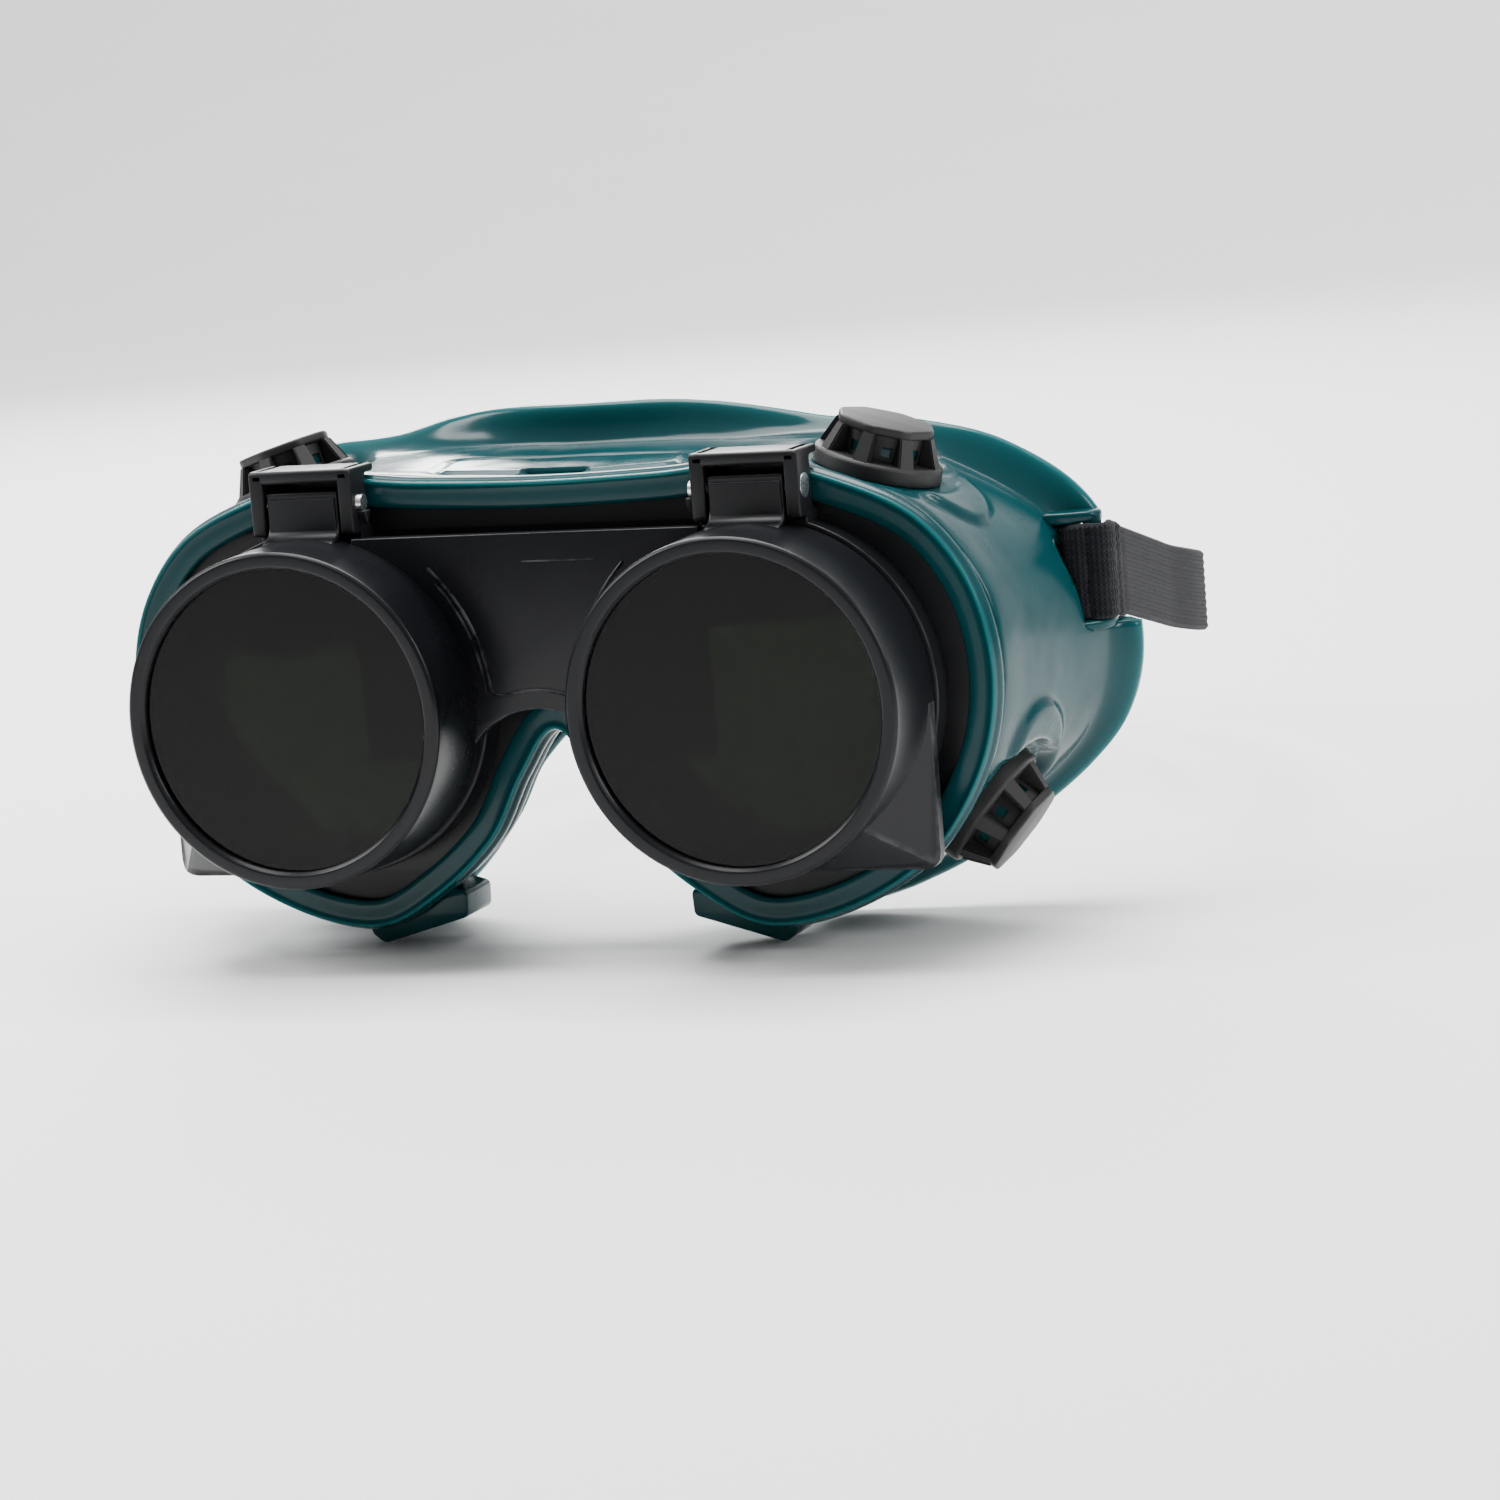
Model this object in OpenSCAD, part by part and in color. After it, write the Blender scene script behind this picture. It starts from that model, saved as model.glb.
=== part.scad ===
// Flip-front welding goggles: a soft moulded mask, a hard lens frame set in its rim,
// a flip-up front that carries the dark filters, four capped vents and an elastic strap.
// Millimetres. +X is the wearer's left, -Y is the way the goggles look, +Z is up.
// The origin is on the mid-plane, level with the lens centres, where the temples meet the face.

/* [Lenses] */
// Diameter of every round lens
lens_d = 50; // [42:1:60]
// Gap between the edges of the two lenses
lens_bridge = 24; // [21:1:32]
// Thickness of a dark filter lens
filter_t = 3; // [2:0.5:4]
// Thickness of a clear lens
clear_t = 2.5; // [2:0.5:4]
// Width of the seat that a filter lens rests on
lens_seat = 1.3; // [0.8:0.1:2.5]

/* [Flip front] */
// Distance from the front of the cups to the face
front_to_face = 64; // [58:0.5:77]
// Wall of a cup round its lens
cup_wall = 1.35; // [1.1:0.05:2]
// Depth of a cup from its front edge to the back of the web
cup_depth = 16.2; // [13.5:0.1:16.2]
// Thickness of the web that joins the cups
web_t = 2.2; // [1.6:0.1:3]
// Radius of the nose arch in the web
arch_r = 14; // [12:0.5:16]

/* [Hinge] */
// Width of a hinge bracket across both cheeks
bracket_w = 17.5; // [14.5:0.5:21]
// Thickness of a bracket cheek
cheek_t = 2.3; // [1.8:0.1:3]
// Diameter of a hinge pin
pin_d = 2.6; // [2.1:0.1:3.2]
// Diameter of a hinge pin's head
pin_head_d = 3.8; // [3.4:0.1:4.6]
// Radial clearance of a pin in the flip front
pin_gap = 0.05; // [0.02:0.01:0.1]
// Side clearance of an arm between its cheeks
arm_gap = 0.35; // [0.25:0.05:0.6]

/* [Mask] */
// Distance from a lens edge to the outside of the mask's rim
rim_margin = 10.3; // [10:0.1:14]
// Wall of the soft mask
mask_wall = 2; // [1.6:0.1:2.6]
// Width of the front lip that holds the lens frame
lip_w = 4.4; // [3.8:0.1:4.8]
// Distance from the cups' front to the front of the lip
rim_depth = 20; // [19.9:0.1:22]

/* [Lens frame] */
// Thickness of the fixed lens frame
frame_t = 2; // [1.6:0.1:2.4]

/* [Vents] */
// Diameter of a vent cap's base
vent_d = 20.5; // [17:0.5:21.5]
// Height of a vent cap
vent_h = 8.2; // [7.6:0.1:10]
// Diameter of the flat top of a vent cap
vent_top_d = 15; // [13.5:0.5:17]
// Outside diameter of the mask's vent boss
boss_d = 12.6; // [10.5:0.1:13]
// Number of windows round a vent cap
vent_windows = 8; // [6:1:10]

/* [Head strap] */
// Width of the elastic strap
strap_w = 14; // [10:0.5:17]
// Thickness of the elastic strap
strap_t = 1.6; // [1:0.1:1.9]
// Half the width of the strap's loop round the head
strap_half_w = 74.5; // [70:0.5:80]
// Distance from the face to the back of the strap's loop
strap_depth = 155; // [130:1:186]

/* [Hidden] */
$fn = 96;

lens_r = lens_d / 2;
lens_x = lens_r + lens_bridge / 2;
lens_gap = 0.15;
bore_r = lens_r + lens_gap;

// depths behind the cups' front plane are turned into y by this
y_ring = -front_to_face;
cup_r = bore_r + cup_wall;
cup_back_r = cup_r + 0.4;
cup_lip = 1.5;
cup_opening_r = lens_r - lens_seat;
ring_t = 2.6;
ring_r = lens_r - 2;
web_front = cup_depth - web_t;
web_top = cup_r - 0.1;
arch_top = -1.1;

// the rim of the mask: groove, lens frame and the raised collars
mask_top = lens_r + rim_margin;
lip_t = 1.7;
frame_gap = 0.05;
frame_front = rim_depth + lip_t + frame_gap;
frame_back = frame_front + frame_t;
groove_in = 2;
groove_back = frame_back + frame_gap;
frame_inset = groove_in + 0.2;
ledge_in = 5.2;
ledge_t = 1.6;
collar_r = cup_back_r + 0.6;
collar_front = cup_depth + 0.6;
clear_opening_r = lens_r - 2.2;
socket_wall = 1.6;
socket_back = frame_back + clear_t + ring_t + 0.6;

// hinge: the arm round the pin, and the bracket that clears it as it turns
pin_r = pin_d / 2;
pin_proud = 0.9;
head_t = 1;
arm_reach = pin_r + 0.9;
arm_rise = pin_r + 0.8;
arm_sweep = norm([arm_reach, arm_rise]);
pin_depth = rim_depth - arm_sweep - 0.36;
pin_z = cup_back_r + 4.9;
arm_w = bracket_w - 2 * cheek_t - 2 * arm_gap;
arm_front = pin_depth - arm_reach;
arm_back = pin_depth + pin_r + 1.2;
arm_top = pin_z + arm_rise;
bracket_front = arm_front - 0.3;
bracket_back = rim_depth - 0.3;
bracket_hook = rim_depth + 3;
bar_low = pin_z + arm_sweep + 0.46;
bracket_top = bar_low + 2.1;
hook_low = mask_top + 0.8;
cheek_low = web_top + 0.7;
cheek_foot = collar_r - 3.5;

function mirror_half(h) = concat(h, [for (i = [len(h) - 2:-1:1]) mirror_x(h[i])]);
function mirror_x(p) = len(p) == 2 ? [-p[0], p[1]] : [-p[0], p[1], p[2]];

// Catmull-Rom curve through points, closed
function cr(a, b, c, d, t) =
    0.5 * (2 * b + (c - a) * t + (2 * a - 5 * b + 4 * c - d) * t * t
        + (3 * b - a - 3 * c + d) * t * t * t);
function closed_curve(p, n) = let (m = len(p)) [
    for (i = [0:m - 1]) for (k = [0:n - 1])
        cr(p[(i + m - 1) % m], p[i], p[(i + 1) % m], p[(i + 2) % m], k / n)
];
// Catmull-Rom curve through points, open
function open_curve(p, n) = let (m = len(p)) concat([
    for (i = [0:m - 2]) for (k = [0:n - 1])
        cr(p[max(i - 1, 0)], p[i], p[i + 1], p[min(i + 2, m - 1)], k / n)
], [p[m - 1]]);

// the mask's three outlines, from the middle of the brow round one lens to the nose.
// Each row: the rim's point as [angle round the lens, distance past rim_margin], the step from
// there to the neck where the flange starts [x, y from the face, z], and from the neck to the
// flange's edge [x, y, z]
MASK_ROWS = [
    [[91, 0], [1, -16.5, 0.5], [0, 5.5, 2.8]],
    [[68, -0.8], [0.5, -13, 1.2], [0.2, 6, 3.8]],
    [[46, 0.8], [1, -9, 1], [1.4, 5.5, 5.6]],
    [[24.5, 1], [3.6, -6, 2.8], [3.4, 5.2, 4.2]],
    [[1.6, 0.3], [6.9, -5, 2], [3.9, 5, 0]],
    [[-21.8, -0.3], [6.5, -6.5, 0.5], [3.8, 5.5, -0.5]],
    [[-47.9, -0.25], [2.5, -11, 1.4], [3.5, 5.5, -1.2]],
    [[-73.7, 0.3], [3, -15.5, 1.6], [2, 4.5, -2.4]],
    [[-96.2, 1.7], [3, -18, 0.4], [0.5, 3.5, -2.6]],
    [[-115.5, -0.4], [4.5, -20.5, 0.5], [0.5, 3, -2.6]],
    [[-137.6, -1.5], [4.5, -24, 2], [0.5, 3, -2.4]],
    [[-158, -1.9], [3.3, -27, 1.3], [0.5, 3, -1.8]]
];
function lens_polar(angle, past) =
    [lens_x + (mask_top + past) * cos(angle), (mask_top + past) * sin(angle)];
rim_half = concat(
    [[0, mask_top - 1.5], [lens_x - 17, mask_top - 1]],
    [for (row = MASK_ROWS) lens_polar(row[0][0], row[0][1])],
    [[0, -5.4]]
);
neck_step = concat([[0, -21, 3.2], [-1, -20, 2.5]], [for (row = MASK_ROWS) row[1]], [[0, -28.5, 1]]);
edge_step = concat([[0, 3.5, 6], [0, 4.5, 5.6]], [for (row = MASK_ROWS) row[2]], [[0, 2.5, -2.2]]);
HALF = len(rim_half);
neck_half = [
    for (i = [0:HALF - 1]) [rim_half[i][0], 0, rim_half[i][1]] + neck_step[i]
];
edge_half = neck_half + edge_step;
STEPS = 3;
rim = closed_curve(mirror_half(rim_half), STEPS);
neck = closed_curve(mirror_half(neck_half), STEPS);
edge = closed_curve(mirror_half(edge_half), STEPS);
COUNT = len(rim);

function unit(v) = v / norm(v);
// outward normal of a clockwise outline in its own x-z plane
function out_normal(p, i) = let (m = len(p), d = p[(i + 1) % m] - p[(i + m - 1) % m])
    unit([-d[len(d) - 1], d[0]]);
function inset(p, d) = [for (i = [0:len(p) - 1]) p[i] - d * out_normal(p, i)];
// ring of the rim moved in by d, at a depth behind the cups' front
function rim_ring(d, depth) = [
    for (i = [0:COUNT - 1]) let (q = rim[i] - d * out_normal(rim, i)) [q[0], y_ring + depth, q[1]]
];
// ring of a three-dimensional outline moved in by d and back by b
function face_ring(p, d, b) = [
    for (i = [0:COUNT - 1]) let (n = out_normal(p, i)) p[i] + [-d * n[0], b, -d * n[1]]
];
// ring part of the way from the rim to the neck, moved in by d
wall_start = rim_depth + 6.6;
function wall_ring(s, d) = [
    for (i = [0:COUNT - 1]) let (
        n = out_normal(rim, i),
        a = [rim[i][0], y_ring + wall_start, rim[i][1]],
        b = neck[i],
        w = s + 0.35 * s * (s - 1)
    ) [
        a[0] + (b[0] - a[0]) * w - d * n[0],
        a[1] + (b[1] - a[1]) * s,
        a[2] + (b[2] - a[2]) * w - d * n[1]
    ]
];
WALL_S = [0.2, 0.45, 0.72];
mask_rings = concat(
    [
        rim_ring(lip_w, rim_depth + 0.5), rim_ring(0.9, rim_depth), rim_ring(0, rim_depth + 0.8),
        rim_ring(-0.4, rim_depth + 2.4), rim_ring(0, rim_depth + 3.8),
        rim_ring(1, rim_depth + 4.8), rim_ring(0, rim_depth + 6)
    ],
    [for (s = WALL_S) wall_ring(s, 0)],
    [face_ring(neck, 0, 0), face_ring(edge, 0.9, -1.6), face_ring(edge, 0, 0),
        face_ring(edge, 0.9, 1), face_ring(neck, mask_wall, 1.5)],
    [for (i = [len(WALL_S) - 1:-1:0]) wall_ring(WALL_S[i], mask_wall)],
    [
        rim_ring(mask_wall + 0.6, groove_back + ledge_t + 1.5),
        rim_ring(ledge_in, groove_back + ledge_t), rim_ring(ledge_in, groove_back),
        rim_ring(groove_in, groove_back), rim_ring(groove_in, rim_depth + lip_t),
        rim_ring(lip_w, rim_depth + lip_t)
    ]
);

// closed skin over a closed row of rings
module ring_skin(rings) {
    m = len(rings);
    n = len(rings[0]);
    points = [for (r = rings) for (p = r) p];
    faces = [
        for (k = [0:m - 1]) for (i = [0:n - 1]) for (f = [0, 1]) let (
            a = k * n + i,
            b = k * n + (i + 1) % n,
            c = ((k + 1) % m) * n + (i + 1) % n,
            d = ((k + 1) % m) * n + i
        ) f == 0 ? [a, c, b] : [a, d, c]
    ];
    polyhedron(points, faces, convexity = 10);
}

// vents: each seat's centre is on a ray from the lens centre, and its axis tilts away from +Z
vent_y = -24.5;
vent_sink = -1.85;
TOP_RAY = 68.3;
LOW_RAY = -38.8;
VENT_TOP_TILT = 17;
VENT_LOW_TILT = 90 - LOW_RAY;
seat_t = 2.4;
seat_r = vent_d / 2 + 0.6;
boss_h = 5;
boss_r = boss_d / 2;
boss_bore_r = boss_r - 1.5;
vent_band = 2.7;

module at_vent(low, side) {
    c = lens_polar(low ? LOW_RAY : TOP_RAY, vent_sink);
    tilt = low ? VENT_LOW_TILT : VENT_TOP_TILT;
    translate([side * c[0], vent_y, c[1]]) rotate([0, side * tilt, 0]) children();
}

module each_vent() {
    for (low = [false, true])
        for (side = [-1, 1])
            at_vent(low, side) children();
}

// strap lugs: a raised pocket on each side of the mask, with a bar across it
lug_y = -5.5;
lug_z = 12;
bar_r = 1.5;
bar_x = lens_x + mask_top + 5.5;
ear_t = 1.8;
ear_gap = strap_w + 2.4;
pocket_floor = bar_x - 5.2;
pocket_front = lug_y - 4.7;
lug_back = -0.5;
lug_out = bar_x + 2.8;

// lower tabs under each lobe
tab_front = frame_back + 0.1;
tab_depth = 10;

// shape drawn as x and z, spread from one depth to another behind the cups' front
module slab(depth, t) {
    translate([0, y_ring + depth + t, 0]) rotate([90, 0, 0]) linear_extrude(t) children();
}

// disc or ring round a lens axis, from one depth to another
module disc(r, depth, t) {
    slab(depth, t) circle(r);
}

module both_lenses() {
    for (side = [-1, 1]) translate([side * lens_x, 0, 0]) children();
}

module mask_body() {
    color("#0f5f5c") {
        difference() {
            union() {
                ring_skin(mask_rings);
                each_vent() translate([0, 0, -seat_t]) cylinder(r = seat_r + 1.2, h = seat_t);
                for (side = [-1, 1]) {
                    strap_lug(side);
                    lower_tab(side);
                }
            }
            each_vent() {
                cylinder(r = seat_r, h = vent_h);
                translate([0, 0, -seat_t - 1]) cylinder(r = boss_bore_r, h = seat_t + 2);
            }
            for (side = [-1, 1]) strap_pocket(side);
            top_slot();
        }
        for (side = [-1, 1]) strap_bar(side);
        each_vent() difference() {
            translate([0, 0, -0.5]) cylinder(r = boss_r, h = boss_h + 0.5);
            translate([0, 0, -1]) cylinder(r = boss_bore_r, h = boss_h + 2);
        }
    }
}

// narrow slot through the brow, behind the rim
slot_w = 9.4;
slot_r = 1;
slot_depth = rim_depth + 9.5;
module top_slot() {
    translate([0, y_ring + slot_depth, mask_top - 6]) linear_extrude(10) {
        square([slot_w, 2 * slot_r], center = true);
        for (x = [-slot_w / 2, slot_w / 2]) translate([x, 0]) circle(slot_r, $fn = 24);
    }
}

module strap_lug(side) {
    high = ear_gap + 2 * ear_t;
    translate([0, 0, lug_z - high / 2]) linear_extrude(high) mirror([side < 0 ? 1 : 0, 0])
        polygon([
            [pocket_floor - mask_wall, pocket_front - 2], [lug_out - 4.5, pocket_front - 1.6],
            [lug_out - 1, lug_y - 2.4], [lug_out, lug_y + 0.5], [lug_out - 0.4, lug_y + 3.5],
            [lug_out - 2, lug_back], [pocket_floor - mask_wall, lug_back]
        ]);
}

module strap_pocket(side) {
    cut = 20;
    translate([side * (pocket_floor + cut / 2), pocket_front + cut / 2, lug_z])
        cube([cut, cut, ear_gap], center = true);
}

module strap_bar(side) {
    translate([side * bar_x, lug_y, lug_z - ear_gap / 2 - 0.5])
        cylinder(r = bar_r, h = ear_gap + 1);
}

module lower_tab(side) {
    b = -mask_top - 1.5;
    slab(tab_front, tab_depth) mirror([side < 0 ? 1 : 0, 0]) polygon([
        [lens_x - 17.9, b + 5], [lens_x - 17.7, b + 0.9], [lens_x - 2.7, b - 3.4],
        [lens_x - 0.6, b - 1.7], [lens_x - 0.4, b + 0.6], [lens_x - 4, b + 2.2], [lens_x - 13, b + 6.4]
    ]);
}

module lens_frame() {
    color("#17181b") difference() {
        union() {
            slab(frame_front, frame_t) polygon(inset(rim, frame_inset));
            both_lenses() disc(collar_r, collar_front, frame_front - collar_front + frame_t);
            both_lenses() disc(bore_r + socket_wall, frame_back - 0.5, socket_back - frame_back + 0.5);
            both_lenses() hinge_bracket();
        }
        both_lenses() disc(clear_opening_r, collar_front - 1, socket_back);
        both_lenses() disc(bore_r, frame_back, socket_back);
        both_lenses() pin_hole(pin_r);
        for (side = [-1, 1]) pin_head(side, 0.5);
    }
}

module pin_hole(r) {
    translate([-bracket_w, y_ring + pin_depth, pin_z]) rotate([0, 90, 0])
        cylinder(r = r, h = 2 * bracket_w, $fn = 48);
}

// frame-shaped bracket: two cheeks and a top bar that hooks over the mask's rim
module hinge_bracket() {
    for (side = [-1, 1])
        side_plate(side * (bracket_w - cheek_t) / 2, cheek_t) polygon([
            [bracket_front + 0.6, bracket_top], [bracket_front, bracket_top - 0.6],
            [bracket_front, cheek_low], [cup_depth + 0.7, cheek_low],
            [cup_depth + 0.7, cheek_foot], [frame_front + 0.5, cheek_foot],
            [frame_front + 0.5, cheek_foot + 3.2], [bracket_back, cheek_foot + 4.4],
            [bracket_back, hook_low], [bracket_hook, hook_low],
            [bracket_hook, bracket_top]
        ]);
    side_plate(0, bracket_w - 1) polygon([
        [bracket_front + 0.6, bracket_top], [bracket_front, bracket_top - 0.6],
        [bracket_front, bar_low], [bracket_back, bar_low],
        [bracket_back, hook_low], [bracket_hook, hook_low], [bracket_hook, bracket_top]
    ]);
}

// plate across x, drawn as depth behind the cups' front and z
module side_plate(x, t) {
    translate([x - t / 2, y_ring, 0]) rotate([90, 0, 90]) linear_extrude(t) children();
}

module flip_front() {
    color("#131417") difference() {
        union() {
            both_lenses() cup_wall();
            slab(web_front, web_t) web_outline();
            both_lenses() hinge_arm();
            for (side = [-1, 1]) {
                gusset(side);
                web_bead(side);
            }
        }
        both_lenses() disc(cup_opening_r, -1, cup_depth);
        both_lenses() disc(bore_r, cup_lip, cup_depth);
        both_lenses() pin_hole(pin_r + pin_gap);
    }
}

module cup_wall() {
    rotate([-90, 0, 0]) translate([0, 0, y_ring]) rotate_extrude() polygon([
        [0, 0], [cup_r - 0.7, 0], [cup_r, 0.7], [cup_back_r, cup_depth], [0, cup_depth]
    ]);
}

module web_outline() {
    difference() {
        union() {
            translate([-lens_x + 8, -cup_r / 3]) square([2 * lens_x - 16, web_top + cup_r / 3]);
            for (side = [-1, 1]) translate([side * lens_x, 0]) {
                circle(cup_back_r);
                mirror([side < 0 ? 1 : 0, 0]) gusset_outline();
            }
        }
        translate([0, arch_top - arch_r]) circle(arch_r);
    }
}

gusset_r = 2.5;
module gusset_outline() {
    g = cup_back_r - gusset_r;
    polygon([[0, -cup_back_r], [g, -cup_back_r], [g, 0], [0, 0]]);
    polygon([[0, -g], [cup_back_r, -g], [cup_back_r, 0], [0, 0]]);
    translate([g, -g]) circle(gusset_r);
}

// pyramid-like filler from the cup's side down to its square corner
module gusset(side) {
    ridge = cup_r * cos(45) - 1;
    corner = cup_back_r - gusset_r;
    mirror([side < 0 ? 1 : 0, 0, 0]) translate([lens_x, y_ring, 0]) hull() {
        translate([ridge, 2.5, -ridge]) cube([0.6, 1, 0.6], center = true);
        translate([cup_back_r - 1, web_front - 0.2, -2]) cube([1, 0.3, 1]);
        translate([2, web_front - 0.2, -cup_back_r]) cube([1, 0.3, 1]);
        translate([corner, web_front + 0.1, -corner]) rotate([90, 0, 0])
            cylinder(r = gusset_r, h = 0.3, $fn = 32);
    }
}

// raised bead that follows the cup and crosses over the nose
bead_cup_r = cup_back_r + 2.9;
bead_arch_r = arch_r + 3;
bead_w = 0.9;
bead_h = 0.6;
bead_half = concat(
    [for (a = [137:8:177]) [lens_x + bead_cup_r * cos(a), bead_cup_r * sin(a)]],
    [for (a = [71, 80, 90]) [bead_arch_r * cos(a), arch_top - arch_r + bead_arch_r * sin(a)]]
);
module web_bead(side) {
    path = open_curve(bead_half, 3);
    n = len(path);
    left = [for (i = [0:n - 1]) path[i] + bead_w / 2 * path_normal(path, i)];
    right = [for (i = [n - 1:-1:0]) path[i] - bead_w / 2 * path_normal(path, i)];
    slab(web_front - bead_h, bead_h + 0.5) mirror([side < 0 ? 1 : 0, 0]) polygon(concat(left, right));
}
function path_normal(p, i) =
    let (d = p[min(i + 1, len(p) - 1)] - p[max(i - 1, 0)]) unit([-d[1], d[0]]);

// arm between the cheeks: a barrel on the pin and a plate down to the cup
module hinge_arm() {
    side_plate(0, arm_w) polygon([
        [arm_front, arm_top - 0.4], [arm_front + 0.4, arm_top], [pin_depth + 0.8, arm_top],
        [arm_back - 0.5, pin_z + 1.2], [arm_back, pin_z], [arm_back - 0.6, pin_z - 2],
        [cup_depth, pin_z - 3.4], [cup_depth, web_top - 6], [web_front - 3, web_top - 6],
        [web_front - 3, web_top], [arm_front - 0.6, web_top + 1]
    ]);
}

module filter_lens(side) {
    color("#0a100a") translate([side * lens_x, 0, 0]) disc(lens_r, cup_lip, filter_t);
}

// retaining ring behind a lens, with two notches for a key
module lens_ring(side, depth) {
    color("#1b1c1f") translate([side * lens_x, 0, 0]) difference() {
        disc(bore_r, depth, ring_t);
        disc(ring_r, depth - 1, ring_t + 2);
        for (turn = [0, 180])
            rotate([0, turn, 0]) translate([ring_r - 1, y_ring + depth + 1, -1.5])
                cube([2.4, ring_t, 3]);
    }
}

module clear_lens(side) {
    color("#c9d6d3") translate([side * lens_x, 0, 0]) disc(lens_r, frame_back, clear_t);
}

// steel pin pressed into both cheeks: a head flush outside, its tip proud on the nose side
module hinge_pin(side) {
    color("#c8c9cc") {
        pin_head(side, 0.1);
        translate([side * (lens_x + bracket_w / 2 - head_t), y_ring + pin_depth, pin_z])
            rotate([0, -side * 90, 0])
                cylinder(r = pin_r, h = bracket_w - head_t + pin_proud, $fn = 48);
    }
}

module pin_head(side, proud) {
    translate([side * (lens_x + bracket_w / 2 - head_t), y_ring + pin_depth, pin_z])
        rotate([0, side * 90, 0]) cylinder(r = pin_head_d / 2, h = head_t + proud, $fn = 48);
}

vent_roof = 1.5;
window_h = 5.2;
rib_angle = 18;
module vent_cap(low, side) {
    window_angle = 360 / vent_windows;
    color("#26272a") at_vent(low, side) difference() {
        union() {
            cylinder(r = vent_d / 2, h = vent_band);
            translate([0, 0, vent_band])
                cylinder(r1 = vent_d / 2 - 0.5, r2 = vent_top_d / 2, h = vent_h - vent_band);
        }
        translate([0, 0, -1]) cylinder(r = boss_r + 0.02, h = vent_h - vent_roof + 1);
        for (i = [0:vent_windows - 1])
            rotate([0, 0, i * window_angle]) translate([0, 0, vent_h - vent_roof - window_h + 0.3])
                window_cut();
    }
}

module window_cut() {
    half = (360 / vent_windows - rib_angle) / 2;
    reach = vent_d;
    linear_extrude(window_h - 0.9) polygon([
        [boss_r * 0.6, 0], [reach * cos(half), -reach * sin(half)],
        [reach * cos(half), reach * sin(half)]
    ]);
}

// light baffle pushed into the boss from inside the mask
baffle_rim_r = 7.4;
baffle_rim_t = 1.2;
module vent_baffle(low, side) {
    color("#202124") at_vent(low, side) translate([0, 0, -seat_t - baffle_rim_t]) difference() {
        union() {
            cylinder(r = baffle_rim_r, h = baffle_rim_t);
            cylinder(r = boss_bore_r - 0.02, h = baffle_rim_t + seat_t + 3);
        }
        translate([0, 0, baffle_rim_t]) cylinder(r = boss_bore_r - 1, h = seat_t + 4);
        for (turn = [0:90:270])
            rotate([0, 0, turn]) translate([1.2, -0.6, -1]) cube([2.2, 1.2, 3]);
    }
}

// the strap's route seen from above: a tail, a turn round one bar, the head, the other bar
wrap_r = bar_r + 0.3 + strap_t / 2;
layer_gap = 0.2;
straight = 54;
side_lean = (strap_half_w - bar_x - wrap_r) / straight;
head_y = lug_y + straight;
short_tail = 18;
long_tail = 46;
// over the first stretch the tail leaves the bar's inner side and settles on the band
settle = 11;
function lay_point(layer, d) = [bar_x + side_lean * d + layer, lug_y + d];
tail_lay = wrap_r - strap_t - layer_gap;
function tail_layer(d) =
    d >= settle ? tail_lay : -wrap_r + (tail_lay + wrap_r) * pow(d / settle, 2);
function lug_turn(tail) = concat(
    [for (d = [tail, 0.6 * tail + 2, settle, 7, 3.5]) lay_point(tail_layer(d), d)],
    [for (a = [180:30:360]) [bar_x + wrap_r * cos(a), lug_y + wrap_r * sin(a)]],
    [for (d = [4, 14, 30, 44]) lay_point(wrap_r, d)]
);
head_half = [
    for (a = [0:10:80]) [strap_half_w * cos(a), head_y + (strap_depth - head_y) * sin(a)]
];
function flip_route(r) = [for (i = [len(r) - 1:-1:0]) [-r[i][0], r[i][1]]];
strap_route = concat(
    lug_turn(short_tail), head_half, [[0, strap_depth]],
    flip_route(head_half), flip_route(lug_turn(long_tail))
);
// height of the strap's middle: level in the lug, a straight slope, then easing to level
strap_slope = 0.2;
slope_from = lug_y + 2;
ease_len = strap_depth - head_y;
function strap_z(y) = let (d = max(0, y - slope_from), e = max(0, y - head_y))
    lug_z - strap_slope * (min(d, head_y - slope_from) + e - e * e / (2 * ease_len));

module head_strap() {
    route = strap_route;
    n = len(route);
    points = [
        for (i = [0:n - 1]) let (
            m = strap_t / 2 * path_normal(route, i),
            z = strap_z(route[i][1])
        ) each [
            [route[i][0] + m[0], route[i][1] + m[1], z - strap_w / 2],
            [route[i][0] + m[0], route[i][1] + m[1], z + strap_w / 2],
            [route[i][0] - m[0], route[i][1] - m[1], z + strap_w / 2],
            [route[i][0] - m[0], route[i][1] - m[1], z - strap_w / 2]
        ]
    ];
    faces = concat(
        [[0, 1, 2], [0, 2, 3]],
        [for (i = [0:n - 2]) for (k = [0:3]) for (f = [0, 1]) let (
            a = 4 * i + k,
            b = 4 * i + (k + 1) % 4
        ) f == 0 ? [a, a + 4, b + 4] : [a, b + 4, b]],
        [[4 * n - 4, 4 * n - 2, 4 * n - 3], [4 * n - 4, 4 * n - 1, 4 * n - 2]]
    );
    color("#2b2d31") polyhedron(points, faces, convexity = 10);
}

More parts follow.
